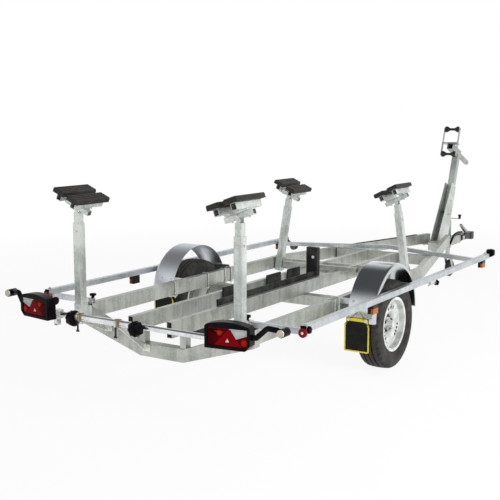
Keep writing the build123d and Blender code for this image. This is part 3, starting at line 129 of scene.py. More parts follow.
# %% Finish
class Finish:
    """One material of the trailer, with its nodes added by a single method."""

    def __init__(self, name, color=(0.5, 0.5, 0.5), **constants):
        self.material = bpy.data.materials.new(name)
        self.material.use_nodes = True
        self.tree = self.material.node_tree
        self.shader = self.tree.nodes["Principled BSDF"]
        self.shader.inputs["Base Color"].default_value = (*color, 1.0)
        for socket, constant in constants.items():
            self.shader.inputs[socket.replace("_", " ")].default_value = constant
        print("finish:", name)

    def node(self, kind, settings, sockets, output=0):
        made = self.tree.nodes.new(kind)
        for key, setting in settings.items():
            setattr(made, key, setting)
        for key, value in sockets.items():
            if isinstance(value, Value):
                self.tree.links.new(value.socket, made.inputs[key])
            else:
                made.inputs[key].default_value = value
        return Value(self, made.outputs[output])

    def maths(self, operation, first, second=0.0):
        """A Math node on one or two values."""
        return self.node("ShaderNodeMath", {"operation": operation}, {0: first, 1: second})

    def place(self, scale=(1.0, 1.0, 1.0), shift=(0.0, 0.0, 0.0)):
        """The point on the object, in metres, stretched for a pattern."""
        point = self.node("ShaderNodeTexCoord", {}, {}, "Object")
        return self.node("ShaderNodeMapping", {}, {"Vector": point, "Scale": scale, "Location": shift})

    def axes(self):
        """The three coordinates of the point, in metres."""
        point = self.node("ShaderNodeTexCoord", {}, {}, "Object")
        split = self.node("ShaderNodeSeparateXYZ", {}, {"Vector": point})
        outputs = split.socket.node.outputs
        return [Value(self, outputs[index]) for index in range(3)]

    def round_axle(self, axle_y, axle_z):
        """The point's x, its distance from an axle along x, and its angle round it."""
        x, y, z = self.axes()
        forward, upward = y - axle_y, z - axle_z
        radius = self.maths("SQRT", forward * forward + upward * upward)
        return x, radius, self.maths("ARCTAN2", upward, forward)

    def noise(self, scale, detail=2.0, stretch=(1.0, 1.0, 1.0), roughness=0.5, shift=(0.0, 0.0, 0.0)):
        sockets = {
            "Vector": self.place(stretch, shift), "Scale": scale, "Detail": detail, "Roughness": roughness
        }
        return self.node("ShaderNodeTexNoise", {}, sockets)

    def cells(self, scale, output="Color", stretch=(1.0, 1.0, 1.0)):
        sockets = {"Vector": self.place(stretch), "Scale": scale}
        return self.node("ShaderNodeTexVoronoi", {}, sockets, output)

    def mix(self, factor, first, second):
        """Blend two colours by a value."""
        sockets = {0: factor, 6: first, 7: second}
        for key in (6, 7):
            if not isinstance(sockets[key], Value):
                sockets[key] = (*sockets[key], 1.0)
        return self.node("ShaderNodeMix", {"data_type": "RGBA"}, sockets, 2)

    def smooth(self, value, low, high):
        """0 below low, 1 above high, with a soft step between."""
        settings = {"interpolation_type": "SMOOTHSTEP"}
        return self.node(
            "ShaderNodeMapRange", settings, {"Value": value, "From Min": low, "From Max": high}
        )

    def drive(self, socket, value):
        self.tree.links.new(value.socket, self.shader.inputs[socket])

    def tint(self, mask, first, second):
        """Let the base colour run from one colour to another."""
        self.drive("Base Color", self.mix(mask, first, second))

    def bump(self, height, strength, distance):
        sockets = {"Height": height, "Strength": strength, "Distance": distance}
        self.drive("Normal", self.node("ShaderNodeBump", {}, sockets, "Normal"))


# %% [markdown]
# ## Hot-dip zinc
# Molten zinc freezes in crystals about a centimetre across, runs down the sides in streaks and
# dulls in grey clouds. Three patterns at those scales give that mottled white.

# %% Zinc
def zinc(name, dark, light, rough, metallic, streaking=0.4):
    """One zinc coat between two colours; streaking is the share of the streaks in the mottle."""
    finish = Finish(name, Metallic=metallic)
    clouds = finish.noise(6.0, 4.0, roughness=0.6)
    streaks = finish.noise(30.0, 2.0, stretch=(1.0, 1.0, 0.10), roughness=0.5, shift=(3.0, 1.0, 0.0))
    crystals = finish.node("ShaderNodeSeparateColor", {}, {"Color": finish.cells(95.0)}, 0)
    mottle = clouds * (0.90 - streaking) + streaks * streaking + crystals * 0.10
    finish.tint(finish.smooth(mottle, 0.30, 0.66), dark, light)
    finish.drive("Roughness", rough + crystals * 0.1 + clouds * 0.1)
    finish.bump(crystals * 0.3 + finish.noise(150.0), 0.10, 0.0015)
    return finish.material


zinc_frame = zinc("zinc_frame", (0.32, 0.335, 0.305), (0.57, 0.59, 0.545), 0.30, 0.80, 0.36)
zinc_post = zinc("zinc_post", (0.42, 0.45, 0.43), (0.76, 0.79, 0.77), 0.32, 0.75, 0.30)
zinc_bow = zinc("zinc_bow", (0.26, 0.285, 0.27), (0.52, 0.55, 0.53), 0.30, 0.80, 0.30)
zinc_rail = zinc("zinc_rail", (0.42, 0.45, 0.47), (0.64, 0.67, 0.69), 0.24, 0.85, 0.25)
zinc_bar = zinc("zinc_bar", (0.58, 0.59, 0.61), (0.84, 0.85, 0.87), 0.07, 0.95, 0.20)
zinc_bolt = zinc("zinc_bolt", (0.56, 0.56, 0.53), (0.80, 0.80, 0.77), 0.20, 0.90)

# %% [markdown]
# ## Mudguard sheet
# The mudguards are rolled from bright sheet, which has no streaks and reflects the room like a
# dull mirror. Rolling leaves very fine lines that soften it. Both guards are the same sheet; the
# left one's copy is painted lighter and the right one's darker, a painted reflection of the room.

# %% Mudguard sheet
def rolled_sheet(name, dark, light, rough):
    """Bright sheet between two colours."""
    finish = Finish(name, Metallic=1.0)
    finish.tint(finish.noise(7.0, 3.0), dark, light)
    finish.drive("Roughness", rough + finish.noise(60.0, 2.0, stretch=(4.0, 0.3, 0.3)) * 0.10)
    finish.bump(finish.noise(420.0, 1.0, stretch=(1.0, 0.05, 0.05)), 0.03, 0.0005)
    return finish.material


# One sheet in two tones: painted reflection, lighter on the left guard and darker on the right.
sheet_painted_darker = rolled_sheet("sheet_painted_darker", (0.52, 0.55, 0.57), (0.70, 0.73, 0.75), 0.10)
sheet_painted_lighter = rolled_sheet("sheet_painted_lighter", (0.66, 0.69, 0.73), (0.82, 0.85, 0.89), 0.34)

# %% [markdown]
# ## Rubber, plastic and timber
# The pads are ribbed rubber, the lamp housings are moulded plastic with a slight shine, and the
# keel guides are boards faced in worn black. Each takes dust in clouds and has a fine grain.

# %% Dark finishes
def dull_black(name, dark, light, rough, grain, depth, stretch=(1.0, 1.0, 1.0), gloss=0.10):
    """A dark surface with dust clouds; grain is the bump's scale and depth its height."""
    finish = Finish(name, Specular_IOR_Level=gloss)
    dust = finish.noise(9.0, 5.0, roughness=0.65)
    finish.tint(finish.smooth(dust, 0.38, 0.72), dark, light)
    finish.drive("Roughness", rough + dust * 0.18)
    finish.bump(finish.noise(grain, 2.0, stretch=stretch), 0.25, depth)
    return finish.material


pad_rubber = dull_black(
    "pad_rubber", (0.010, 0.009, 0.008), (0.030, 0.027, 0.024), 0.42, 380.0, 0.0005, gloss=0.35
)
flap_rubber = dull_black("flap_rubber", (0.010, 0.010, 0.009), (0.024, 0.023, 0.020), 0.45, 300.0, 0.0004)
black_plastic = dull_black(
    "black_plastic", (0.003, 0.002, 0.003), (0.008, 0.006, 0.008), 0.24, 700.0, 0.0002, gloss=0.06
)
black_paint = dull_black("black_paint", (0.006, 0.007, 0.010), (0.020, 0.022, 0.028), 0.20, 250.0, 0.0002)
guide_face = dull_black(
    "guide_face", (0.012, 0.013, 0.012), (0.050, 0.052, 0.046), 0.5, 60.0, 0.0010, (1.0, 0.1, 1.0)
)

# %% [markdown]
# ## Lamp lenses
# A tail lamp is one moulding in several colours: a dark red field, a bright red triangle with a
# clear window, a clear wedge, and two spots where bulbs shine through. The borders are straight,
# so each zone is a product of half planes, along the lamp, which stands askew, and up it.

# %% Tail lamp lens
LAMP_CORNER = (0.597, -3.0585, 0.513)
LAMP_SPLAY = math.radians(8.0)
WINDOW_WIDTH = 0.241
WINDOW_HEIGHT = 0.101
WINDOW_RIM = 0.017

tail_lens = Finish("tail_lens", Roughness=0.12, Specular_IOR_Level=0.03)
east, north, rise = tail_lens.axes()
run = (abs(east) - LAMP_CORNER[0]) * math.cos(LAMP_SPLAY) + (north - LAMP_CORNER[1]) * math.sin(LAMP_SPLAY)
across = (run - WINDOW_RIM) * (1 / WINDOW_WIDTH)
up = (rise - LAMP_CORNER[2] - WINDOW_RIM) * (1 / WINDOW_HEIGHT)


def side_of(start, end):
    """1 to the left of a line across the lens face, 0 to its right."""
    step = (end[0] - start[0], end[1] - start[1])
    return ((up - start[1]) * step[0] - (across - start[0]) * step[1]) > 0.0


def zone(*corners):
    """1 inside a zone whose corners go round anticlockwise."""
    inside = side_of(corners[-1], corners[0])
    for first, second in zip(corners, corners[1:]):
        inside = inside * side_of(first, second)
    return inside


def spot(centre, radius):
    """Soft round glow on the lens face."""
    wide = (across - centre[0]) * (WINDOW_WIDTH / WINDOW_HEIGHT)
    tall = up - centre[1]
    return 1.0 - tail_lens.smooth(wide * wide + tall * tall, 0.0, radius * radius)


lens_color = tail_lens.mix(
    tail_lens.smooth(across, 0.05, 0.35), (0.050, 0.0003, 0.002), (0.105, 0.0005, 0.003)
)
LENS_ZONES = (
    (zone((0.03, 0.83), (0.32, 0.50), (0.46, 0.84), (0.44, 0.90), (0.06, 0.90)), (0.018, 0.001, 0.001)),
    (zone((0.14, 0.84), (0.31, 0.62), (0.45, 0.84)), (0.22, 0.006, 0.006)),
    (spot((0.30, 0.72), 0.20), (0.55, 0.025, 0.005)),
    (zone((0.17, 0.02), (0.86, 0.02), (0.52, 0.95)), (0.26, 0.001, 0.005)),
    (zone((0.42, 0.20), (0.57, 0.20), (0.50, 0.50)), (0.02, 0.006, 0.006)),
    (zone((0.445, 0.23), (0.545, 0.23), (0.50, 0.44)), (0.80, 0.74, 0.55)),
    (zone((0.55, 1.02), (0.72, 0.44), (1.02, 0.70), (1.02, 1.02)), (0.52, 0.54, 0.52)),
    (zone((0.575, 0.93), (0.60, 0.90), (0.745, 0.50), (0.72, 0.46), (0.70, 0.48)), (0.05, 0.05, 0.06)),
    (zone((0.70, 0.66), (0.98, 0.74), (0.98, 0.93), (0.66, 0.90)), (0.62, 0.64, 0.62)),
    (zone((0.00, 0.93), (0.54, 0.93), (0.54, 1.02), (0.00, 1.02)), (0.17, 0.002, 0.005)),
    (zone((0.54, 0.94), (1.02, 0.94), (1.02, 1.02), (0.54, 1.02)), (0.80, 0.81, 0.80)),
    (spot((0.92, 0.27), 0.24), (0.58, 0.018, 0.004)),
)
for mask, shade in LENS_ZONES:
    lens_color = tail_lens.mix(mask, lens_color, shade)
tail_lens.drive("Base Color", lens_color)
tail_lens.bump(tail_lens.cells(240.0, "Distance"), 0.10, 0.0008)
print("zones on a tail lens:", len(LENS_ZONES))

# %% [markdown]
# ## Reflectors and markers
# A reflector is a field of small prisms under clear plastic. The side reflectors are one piece
# with a black holder, so their finish turns from black to amber at the holder's lower edge.

# %% Prism finishes
def prisms(name, color, glow):
    """Prisms in one colour that glow in another at their middles."""
    finish = Finish(name, Roughness=0.12, Specular_IOR_Level=0.15)
    facets = finish.cells(260.0, "Distance")
    finish.tint(facets, color, glow)
    finish.bump(facets, 0.2, 0.001)
    return finish


red_reflector = prisms("red_reflector", (0.16, 0.002, 0.006), (0.34, 0.008, 0.012)).material
cream_lens = prisms("cream_lens", (0.58, 0.54, 0.42), (0.78, 0.74, 0.60)).material

LENS_FACE_X = 0.9998
HOLDER_EDGE_Z = 0.5428
amber = prisms("amber_in_holder", (0.22, 0.055, 0.001), (0.46, 0.12, 0.003))
amber_east, _, amber_rise = amber.axes()
in_lens = (abs(amber_east) > LENS_FACE_X) * (amber_rise < HOLDER_EDGE_Z)
amber_color = amber.shader.inputs["Base Color"].links[0].from_socket
amber.tint(in_lens, (0.008, 0.007, 0.008), Value(amber, amber_color))

# %% [markdown]
# ## Rims
# The hollow round the hub is painted darker, a painted shade, and a clear coat keeps the edge bright.
# The slots come in three groups of four, and round them the finish is painted near black, the
# shade of the open slots.

# %% Rim paint
SLOT_STEP = 13.0
GROUP_STEP = 120.0
SLOT_SPREAD = 2 * SLOT_STEP / GROUP_STEP
SLOT_RADIUS = 0.119

rim_paint = Finish("rim_paint", Coat_Weight=0.1)
rim_grime = rim_paint.noise(16.0, 4.0)
rim_tint = rim_paint.mix(rim_paint.smooth(rim_grime, 0.3, 0.7), (0.60, 0.61, 0.59), (0.86, 0.87, 0.85))
_, radius, rim_turn = rim_paint.round_axle(WHEEL[1], WHEEL[2])
group = rim_paint.maths("FRACT", rim_turn * (1.5 / math.pi) - 0.25) - 0.5
slots = rim_paint.maths("FRACT", group * (GROUP_STEP / SLOT_STEP)) - 0.5
# Round the slots the paint turns near black: painted shade of the open slots.
slot_shade = (abs(slots) < 0.30) * (abs(group) < SLOT_SPREAD) * (abs(radius - SLOT_RADIUS) < 0.0125)
# Towards the hub the paint turns darker: painted shade in the disc's hollow.
hollow = rim_paint.smooth(radius, 0.060, 0.104)
rim_tint = rim_paint.mix((1.0 - hollow) * (radius > 0.045) * 0.65, rim_tint, (0.24, 0.24, 0.21))
rim_tint = rim_paint.mix(slot_shade, rim_tint, (0.006, 0.006, 0.006))
rim_paint.drive("Base Color", rim_tint)
rim_paint.drive("Metallic", (1.0 - slot_shade) * 0.7)
rim_paint.drive("Roughness", 0.26 + rim_grime * 0.16)
rim_paint.bump(rim_paint.noise(320.0), 0.05, 0.0004)

# %% [markdown]
# ## Coupling
# The coupling is a bright casting under a black plastic grip. Both are one piece in the frame, so
# the finish turns from metal to black above a line along it and at the nose.

# %% Coupling finish
GRIP_FROM_Z = 0.446
NOSE_FROM_Y = 2.745

coupling = Finish("coupling_two_tone", Specular_IOR_Level=0.2)
_, north, rise = coupling.axes()
above = coupling.smooth(rise, GRIP_FROM_Z, GRIP_FROM_Z + 0.006)
ahead = coupling.smooth(north, NOSE_FROM_Y, NOSE_FROM_Y + 0.010)
grip = above + ahead - above * ahead
cast_grain = coupling.noise(60.0, 4.0)
cast_color = coupling.mix(cast_grain, (0.40, 0.41, 0.38), (0.66, 0.67, 0.63))
coupling.tint(grip, cast_color, (0.010, 0.011, 0.014))
coupling.drive("Metallic", (1.0 - grip) * 0.85)
coupling.drive("Roughness", 0.24 + cast_grain * 0.14)
coupling.bump(cast_grain, 0.2, 0.0008)

# %% [markdown]
# ## Giving the frame's own pieces their finishes
# Most pieces follow the material named for them in the record. A few differ from the rest of their
# group: the coupling has two tones and the posts are duller than the side rails.

# %% Finishes by slot and by piece
by_slot = {
    "steel": zinc_frame,
    "bright_steel": zinc_rail,
    "rubber": pad_rubber,
    "tyre": pad_rubber,
    "rim": rim_paint.material,
    "black_plastic": black_plastic,
    "red_lens": red_reflector,
    "amber_lens": amber.material,
    "pale_lens": cream_lens,
    "roller": pad_rubber,
    "wood": guide_face,
}
by_piece = {
    # The guards take lit and shaded copies of one sheet, a painted reflection.
    "mudguard_left": sheet_painted_lighter,
    "mudguard_right": sheet_painted_darker,
    "lamp_lenses": tail_lens.material,
    "mud_flaps": flap_rubber,
    "light_bar": zinc_bar,
    "light_bar_clamps": zinc_bolt,
    "coupling_head": coupling.material,
    "handbrake_lever": black_paint,
    "coupling_handle": zinc_bow,
    "side_rails": zinc_rail,
    "rear_outriggers": zinc_rail,
    "swept_arm": zinc_rail,
    "post_tubes": zinc_post,
    "post_sockets": zinc_post,
    "bow_post_upper": zinc_bow,
    "bow_post_lower": zinc_post,
    "bow_roller_frame": zinc_bow,
}
for name in ("rear_left", "rear_right", "front_left", "front_right"):
    by_piece[f"support_tube_{name}"] = zinc_post
    by_piece[f"head_frame_{name}"] = zinc_post
slot_of = {entry["node"]: entry["material_slot"] for entry in frame["record"]["subparts"]}
for node, piece in nodes.items():
    for slot in piece.material_slots:
        slot.material = by_piece.get(node, by_slot[slot_of[node]])
print("finishes in use:", len(set(by_slot.values()) | set(by_piece.values())))

# %% [markdown]
# ## Working by hand
# Every added piece starts as a simple shape at its own size and place, and is then worked in edit
# mode. An operator acts on all that is selected, so each step first clears the selection.

# %% Helpers for modelling
def start():
    """Leave edit mode with nothing selected."""
    if bpy.context.object and bpy.context.object.mode != "OBJECT":
        bpy.ops.object.mode_set(mode="OBJECT")
    bpy.ops.object.select_all(action="DESELECT")


def take(piece):
    """Select one piece alone."""
    start()
    piece.select_set(True)
    bpy.context.view_layer.objects.active = piece


def settle(piece):
    """Put a piece's place, turn and size into its mesh, so that its object sits at the origin."""
    take(piece)
    bpy.ops.object.transform_apply(location=True, rotation=True, scale=True)


def choose(piece, test):
    """Enter edit mode with only the faces selected whose centre and normal pass a test."""
    take(piece)
    bpy.context.tool_settings.mesh_select_mode = (False, False, True)
    mesh = piece.data
    mesh.vertices.foreach_set("select", [False] * len(mesh.vertices))
    mesh.edges.foreach_set("select", [False] * len(mesh.edges))
    mesh.polygons.foreach_set("select", [bool(test(face.center, face.normal)) for face in mesh.polygons])
    bpy.ops.object.mode_set(mode="EDIT")


def block(name, low, high, soften=0.0012):
    """A cube between two corners with its edges softened."""
    start()
    middle = [(a + b) / 2 for a, b in zip(low, high)]
    size = [b - a for a, b in zip(low, high)]
    bpy.ops.mesh.primitive_cube_add(size=1.0, location=middle, scale=size)
    made = bpy.context.object
    made.name = name
    settle(made)
    bpy.ops.object.mode_set(mode="EDIT")
    bpy.ops.mesh.select_all(action="SELECT")
    bpy.ops.mesh.bevel(offset=soften, segments=2, affect="EDGES")
    start()
    return made


def block_at(name, place, low, high, soften=0.0012):
    """A block whose two corners are given as steps from a place."""
    corners = [[a + b for a, b in zip(place, step)] for step in (low, high)]
    return block(name, *corners, soften)


def disc(name, centre, axis, radius, depth, sides=24, soften=0.0012):
    """A cylinder centred on a point, along an axis, with both rims softened."""
    start()
    turn = Vector(axis).to_track_quat("Z", "Y").to_euler()
    bpy.ops.mesh.primitive_cylinder_add(
        vertices=sides, radius=radius, depth=depth, location=centre, rotation=turn
    )
    made = bpy.context.object
    made.name = name
    settle(made)
    along = Vector(axis).normalized()
    choose(made, lambda middle, normal: abs(normal.dot(along)) > 0.9)
    bpy.ops.mesh.bevel(offset=soften, segments=2, affect="EDGES")
    start()
    return made


def thicken(step):
    """Give the flat piece in edit mode a thickness."""
    bpy.ops.mesh.select_all(action="SELECT")
    bpy.ops.mesh.extrude_region_move(TRANSFORM_OT_translate={"value": step})
    close_mesh()


def close_mesh():
    """Turn all faces of the piece in edit mode outward, and leave edit mode."""
    bpy.ops.mesh.select_all(action="SELECT")
    bpy.ops.mesh.normals_make_consistent(inside=False)
    start()


# %% [markdown]
# ## Round bars
# A bar, a stalk and a lead are all a circle drawn along a line. The line is a smooth curve near a
# few control points, or a chain of straight pieces when its order is 2.

# %% Helpers for round bars
def round_line(name, points, radius, order=3, steps=6):
    """A round bar along a line, still a curve."""
    data = bpy.data.curves.new(name, "CURVE")
    data.dimensions = "3D"
    data.bevel_depth = radius
    data.bevel_resolution = 3
    data.use_fill_caps = True
    spline = data.splines.new("NURBS" if order > 2 else "POLY")
    spline.points.add(len(points) - 1)
    for point, place in zip(spline.points, points):
        point.co = (*place, 1.0)
    if order > 2:
        spline.order_u = order
        spline.use_endpoint_u = True
        spline.resolution_u = steps
    return new_object(name, data)


def bent_rod(name, points, radius, order=3):
    """A round bar along a line, made a mesh."""
    take(round_line(name, points, radius, order))
    bpy.ops.object.convert(target="MESH")
    return bpy.context.object


# %% [markdown]
# ## Copying, joining and fitting
# Repeats are copies with a mesh of their own. Each finished piece gets its finish, smooth shading
# and the body of the frame that it rides on.

# %% Helpers for finished pieces
def copy_of(master, name, place, axis=(0, 0, 1), spin=0.0):
    """A copy with its own mesh, its foot at a place and its upward axis turned to a new one."""
    turn = Vector(axis).to_track_quat("Z", "Y").to_matrix().to_4x4()
    mesh = master.data.copy()
    mesh.transform(Matrix.Translation(place) @ turn @ Matrix.Rotation(spin, 4, "Z"))
    return new_object(name, mesh)


def join(name, pieces):
    """Several small shapes become one piece."""
    start()
    for piece in pieces:
        piece.select_set(True)
    bpy.context.view_layer.objects.active = pieces[0]
    bpy.ops.object.join()
    pieces[0].name = name
    return pieces[0]


def fit(piece, body, material, smooth=40.0):
    """Give a piece its finish, round its shading, and let it ride on a body of the frame."""
    piece.data.materials.clear()
    piece.data.materials.append(material)
    take(piece)
    bpy.ops.object.shade_smooth_by_angle(angle=math.radians(smooth))
    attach(piece, body)
    print(piece.name, "rides on", body, "with", len(piece.data.polygons), "faces")
    return piece


def fit_bright(name, pieces):
    """Join shapes into one zinc-plated piece on the chassis."""
    return fit(join(name, pieces), "chassis", zinc_bolt)


def fit_black(name, pieces):
    """Join shapes into one black plastic piece on the chassis."""
    return fit(join(name, pieces), "chassis", black_plastic)


# %% [markdown]
# ## Tyres
# Half of the tyre's outline is a chain of points, mirrored, and spun about the axle. Every few
# steps one face of the shoulder is inset and pushed in. Finer cuts are left to the finish.

# %% Tyre outline
half_tyre = (
    # step from the centre plane, radius; from the bead up the side wall to the tread's middle
    (0.0707, 0.1943), (0.0780, 0.2020), (0.0800, 0.2120),
    (0.0880, 0.2240), (0.0922, 0.2420), (0.0930, 0.2560),
    (0.0905, 0.2740), (0.0880, 0.2800), (0.0872, 0.2870),
    (0.0810, 0.2990), (0.0740, 0.3072), (0.0640, 0.3125),
    (0.0400, 0.3155), (0.0380, 0.3075), (0.0310, 0.3075),
    (0.0290, 0.3160), (0.0045, 0.3168), (0.0030, 0.3085),
)
outline = list(half_tyre) + [(-step, radius) for step, radius in reversed(half_tyre)]
TREAD_STEPS = 108
NOTCH_EVERY = 3
SHOULDER = (0.064, 0.080)
SHOULDER_RADIUS = 0.295
print("points on the tyre's outline:", len(outline))


def tyre(side):
    """Spin the outline about one wheel's axle and cut the shoulder notches."""
    hub = Vector((side * WHEEL[0], WHEEL[1], WHEEL[2]))
    mesh = bpy.data.meshes.new("tyre_tread")
    points = [(hub.x + step, hub.y, hub.z + radius) for step, radius in outline]
    mesh.from_pydata(points, [(i, i + 1) for i in range(len(points) - 1)], [])
    made = new_object("tyre_tread_" + ("right" if side > 0 else "left"), mesh)
    take(made)
    bpy.ops.object.mode_set(mode="EDIT")
    bpy.ops.mesh.select_all(action="SELECT")
    bpy.ops.mesh.spin(steps=TREAD_STEPS, angle=2 * math.pi, center=hub, axis=(1, 0, 0))
    bpy.ops.mesh.select_all(action="SELECT")
    bpy.ops.mesh.remove_doubles(threshold=0.0002)
    close_mesh()

    def notch(middle, normal):
        turn = math.atan2(middle.z - hub.z, middle.y - hub.y)
        step = int(round(turn / (2 * math.pi) * TREAD_STEPS - 0.5)) % TREAD_STEPS
        outer = SHOULDER[0] < abs(middle.x - hub.x) < SHOULDER[1]
        return outer and (middle - hub).length > SHOULDER_RADIUS and step % NOTCH_EVERY == 0

    choose(made, notch)
    bpy.ops.mesh.inset(thickness=0.0022, depth=-0.004, use_individual=False)
    start()
    return made


# %% [markdown]
# ## Tyre rubber
# Fine rings run round the side wall and zigzag cuts across the tread, so the pattern is written in
# the distance from the axle and the angle round it. The cuts and the tread's middle groove are
# painted near black, a painted shade in them.

# %% Tyre finish
SIPES = 76

rubber = Finish("tyre_rubber", Roughness=0.6, Specular_IOR_Level=0.2)
wheel_x, radius, turn = rubber.round_axle(WHEEL[1], WHEEL[2])
from_middle = abs(abs(wheel_x) - WHEEL[0])
zigzag = rubber.maths("PINGPONG", from_middle, 0.007)
wave = rubber.maths("FRACT", turn * (SIPES / (2 * math.pi)) + zigzag * 60.0)
on_tread = rubber.smooth(radius, 0.3105, 0.3125)
cut = (wave < 0.16) * on_tread
groove_shade = (radius < 0.3120) * (from_middle < 0.045)
rings = rubber.maths("SINE", radius * 900.0) * (1.0 - on_tread)
dust = rubber.noise(14.0, 5.0, roughness=0.65)
wall = rubber.mix(rubber.smooth(dust, 0.35, 0.70), (0.018, 0.018, 0.017), (0.046, 0.044, 0.040))
worn = rubber.mix(on_tread * 0.6, wall, (0.062, 0.054, 0.044))
# The cuts and the groove are painted near black: painted shade in them.
rubber.tint(cut * 0.8 + groove_shade * 0.8, worn, (0.006, 0.006, 0.006))
rubber.drive("Roughness", 0.52 + dust * 0.2)
rubber.bump(rings * 0.25 - cut * 1.0 + rubber.noise(500.0) * 0.2, 0.5, 0.0012)

for side, name in WHEEL_SIDES:
    made = fit(tyre(side), f"wheel_{name}", rubber.material, 50.0)
    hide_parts(f"tyre_{name}")

# %% [markdown]
# ## Bolts and knobs to copy
# One bolt with its washer is modelled with its foot at the origin and its head up, then copied.
# The clamp knobs are a lobed outline, extruded and inset twice into a low dome.

# %% One hexagon bolt, one rivet and one star knob
def hex_bolt(size):
    """Washer, hexagon head and thread end for a bolt of one size, in metres."""
    washer = disc("washer", (0, 0, 0.0010), UP, size * 1.15, 0.0020, 20, 0.0005)
    head = disc("hexagon", (0, 0, 0.0020 + size * 0.35), UP, size * 0.92, size * 0.7, 6, size * 0.12)
    end = disc("thread", (0, 0, 0.0020 + size * 0.80), UP, size * 0.48, size * 0.4, 12, size * 0.1)
    return join("bolt_master", [washer, head, end])


def rivet_head(radius):
    """A low dome: a disc whose top is inset twice and raised."""
    made = disc("rivet", (0, 0, radius * 0.2), UP, radius, radius * 0.4, 20, radius * 0.1)
    choose(made, lambda middle, normal: normal.z > 0.99)
    bpy.ops.mesh.inset(thickness=radius * 0.30, depth=radius * 0.18)
    bpy.ops.mesh.inset(thickness=radius * 0.25, depth=radius * 0.06)
    start()
    return made


def star_knob(radius, depth, lobes=6, hollow=0.16):
    """A knob with finger hollows, its foot at the origin and its grip upward."""
    start()
    bpy.ops.mesh.primitive_circle_add(vertices=lobes * 8, radius=radius, fill_type="NGON")
    made = bpy.context.object
    for index, vertex in enumerate(made.data.vertices):
        vertex.co *= 1.0 - hollow * (0.5 - 0.5 * math.cos(2 * math.pi * index / 8))
    choose(made, lambda middle, normal: True)
    bpy.ops.mesh.extrude_region_move(TRANSFORM_OT_translate={"value": (0, 0, depth * 0.72)})
    bpy.ops.mesh.inset(thickness=radius * 0.14, depth=depth * 0.16)
    bpy.ops.mesh.inset(thickness=radius * 0.30, depth=depth * 0.10)
    close_mesh()
    return made


bolt_m12 = hex_bolt(0.0105)
bolt_m8 = hex_bolt(0.0072)
rivet = rivet_head(0.0085)
big_knob = star_knob(0.047, 0.052, 8, 0.10)
small_knob = star_knob(0.023, 0.016, 5, 0.18)
print("faces on a bolt:", len(bolt_m12.data.polygons), "and on a knob:", len(big_knob.data.polygons))


def bolts(name, master, places, body, material=zinc_bolt):
    """Copies of one fastening at (place, axis) pairs, joined into one piece."""
    copies = []
    for index, (place, axis) in enumerate(places):
        copies.append(copy_of(master, f"{name}_{index}", place, axis, 0.4 * index))
    return fit(join(name, copies), body, material)


# %% [markdown]
# ## Where the fastenings go
# Bolts belong where a post stands in its socket, where a tube slides in another and where a head
# hangs on its pin. Each table row is one post.

# %% Bolts on the posts
POSTS = (
    # name, side, x of the foot, place along, lean, top of the outer tube, pivot height, head tilt
    ("rear_left", -1, 0.6200, -1.550, 0.0, 1.093, 1.198, 22.5),
    ("rear_right", 1, 0.6200, -1.550, 0.0, 1.093, 1.210, 19.0),
    ("front_left", -1, 0.6023, 0.935, 8.7, 1.000, 1.104, 24.0),
    ("front_right", 1, 0.6023, 0.935, 8.7, 1.000, 1.106, 26.5),
)
FOOT_Z = 0.435
CLAMP_DROP = 0.055
TUBE_HALF = 0.0275
SOCKET_HALF = 0.0317
EAR_HALF = 0.0225


def on_post(post, z, back=0.0):
    """Point at a height on a post's centre line, or a little behind it."""
    _, side, foot_x, along, lean = post[:5]
    rate = math.tan(math.radians(lean))
    return Vector((side * (foot_x - rate * (z - FOOT_Z)), AXLE + along - back, z))


for post in POSTS:
    name, side = post[:2]
    lean, top, pivot_z, tilt = post[4:]
    outside = Vector((side, 0, math.tan(math.radians(lean)))).normalized()
    clamp_z = top - CLAMP_DROP
    places = [(on_post(post, clamp_z) + outside * TUBE_HALF, outside)]
    for z, half in ((clamp_z, TUBE_HALF), (0.500, SOCKET_HALF), (0.535, SOCKET_HALF)):
        places.append((on_post(post, z, half), BACKWARD))
    bolts(f"post_bolts_{name}", bolt_m8, places, "chassis")
    ends = [(on_post(post, pivot_z, EAR_HALF), BACKWARD), (on_post(post, pivot_z, -EAR_HALF), FORWARD)]
    bolts(f"pivot_bolts_{name}", bolt_m12, ends, f"support_{name}")
    angle = math.radians(tilt)
    out = Vector((side * math.cos(angle), 0, math.sin(angle)))
    normal = Vector((-side * math.sin(angle), 0, math.cos(angle)))
    under = []
    for spread in (-0.062, 0.062):
        middle = on_post(post, pivot_z) + out * spread
        for end in (-0.026, 0.026):
            under.append((middle + normal * 0.028 + Vector((0, end, 0)), normal))
        under.append((middle - normal * 0.017, -normal))
    bolts(f"saddle_bolts_{name}", bolt_m8, under, f"head_{name}")

# %% [markdown]
# ## Bolts on the frame
# The other bolts sit at the rear beam, the drawbar plate, the stays, the side rails and the bow
# post's foot. Rivets hold each mudguard to its stays and look out along its radius.

# %% Bolts on the frame
frame_places = []
for side in (-1, 1):
    outward = (side, 0, 0)
    frame_places += [((side * CHASSIS_X, AXLE - 1.5003, z), BACKWARD) for z in (0.465, 0.520)]
    frame_places += [((side * 0.118, AXLE + along, 0.4380), DOWN) for along in (3.105, 3.175)]
    frame_places += [((side * 0.1703, AXLE + 0.905, z), outward) for z in (0.470, 0.525)]
    frame_places.append(((side * 0.7122, AXLE + 0.050, 0.408), outward))
    frame_places += [((side * SIDE_RAIL_X, AXLE + along, 0.6070), UP) for along in (1.700, -1.452)]
    for step in (0.04, 0.11):
        frame_places.append(((side * 0.039, AXLE + 3.333 + step, 0.66 + step * 2.0), outward))
frame_places.append(((0.095, AXLE + 0.2775, 0.690), BACKWARD))
frame_places.append(((-0.1158, AXLE - 0.5, 0.54), RIGHT))
bolts("frame_bolts", bolt_m12, frame_places, "chassis")

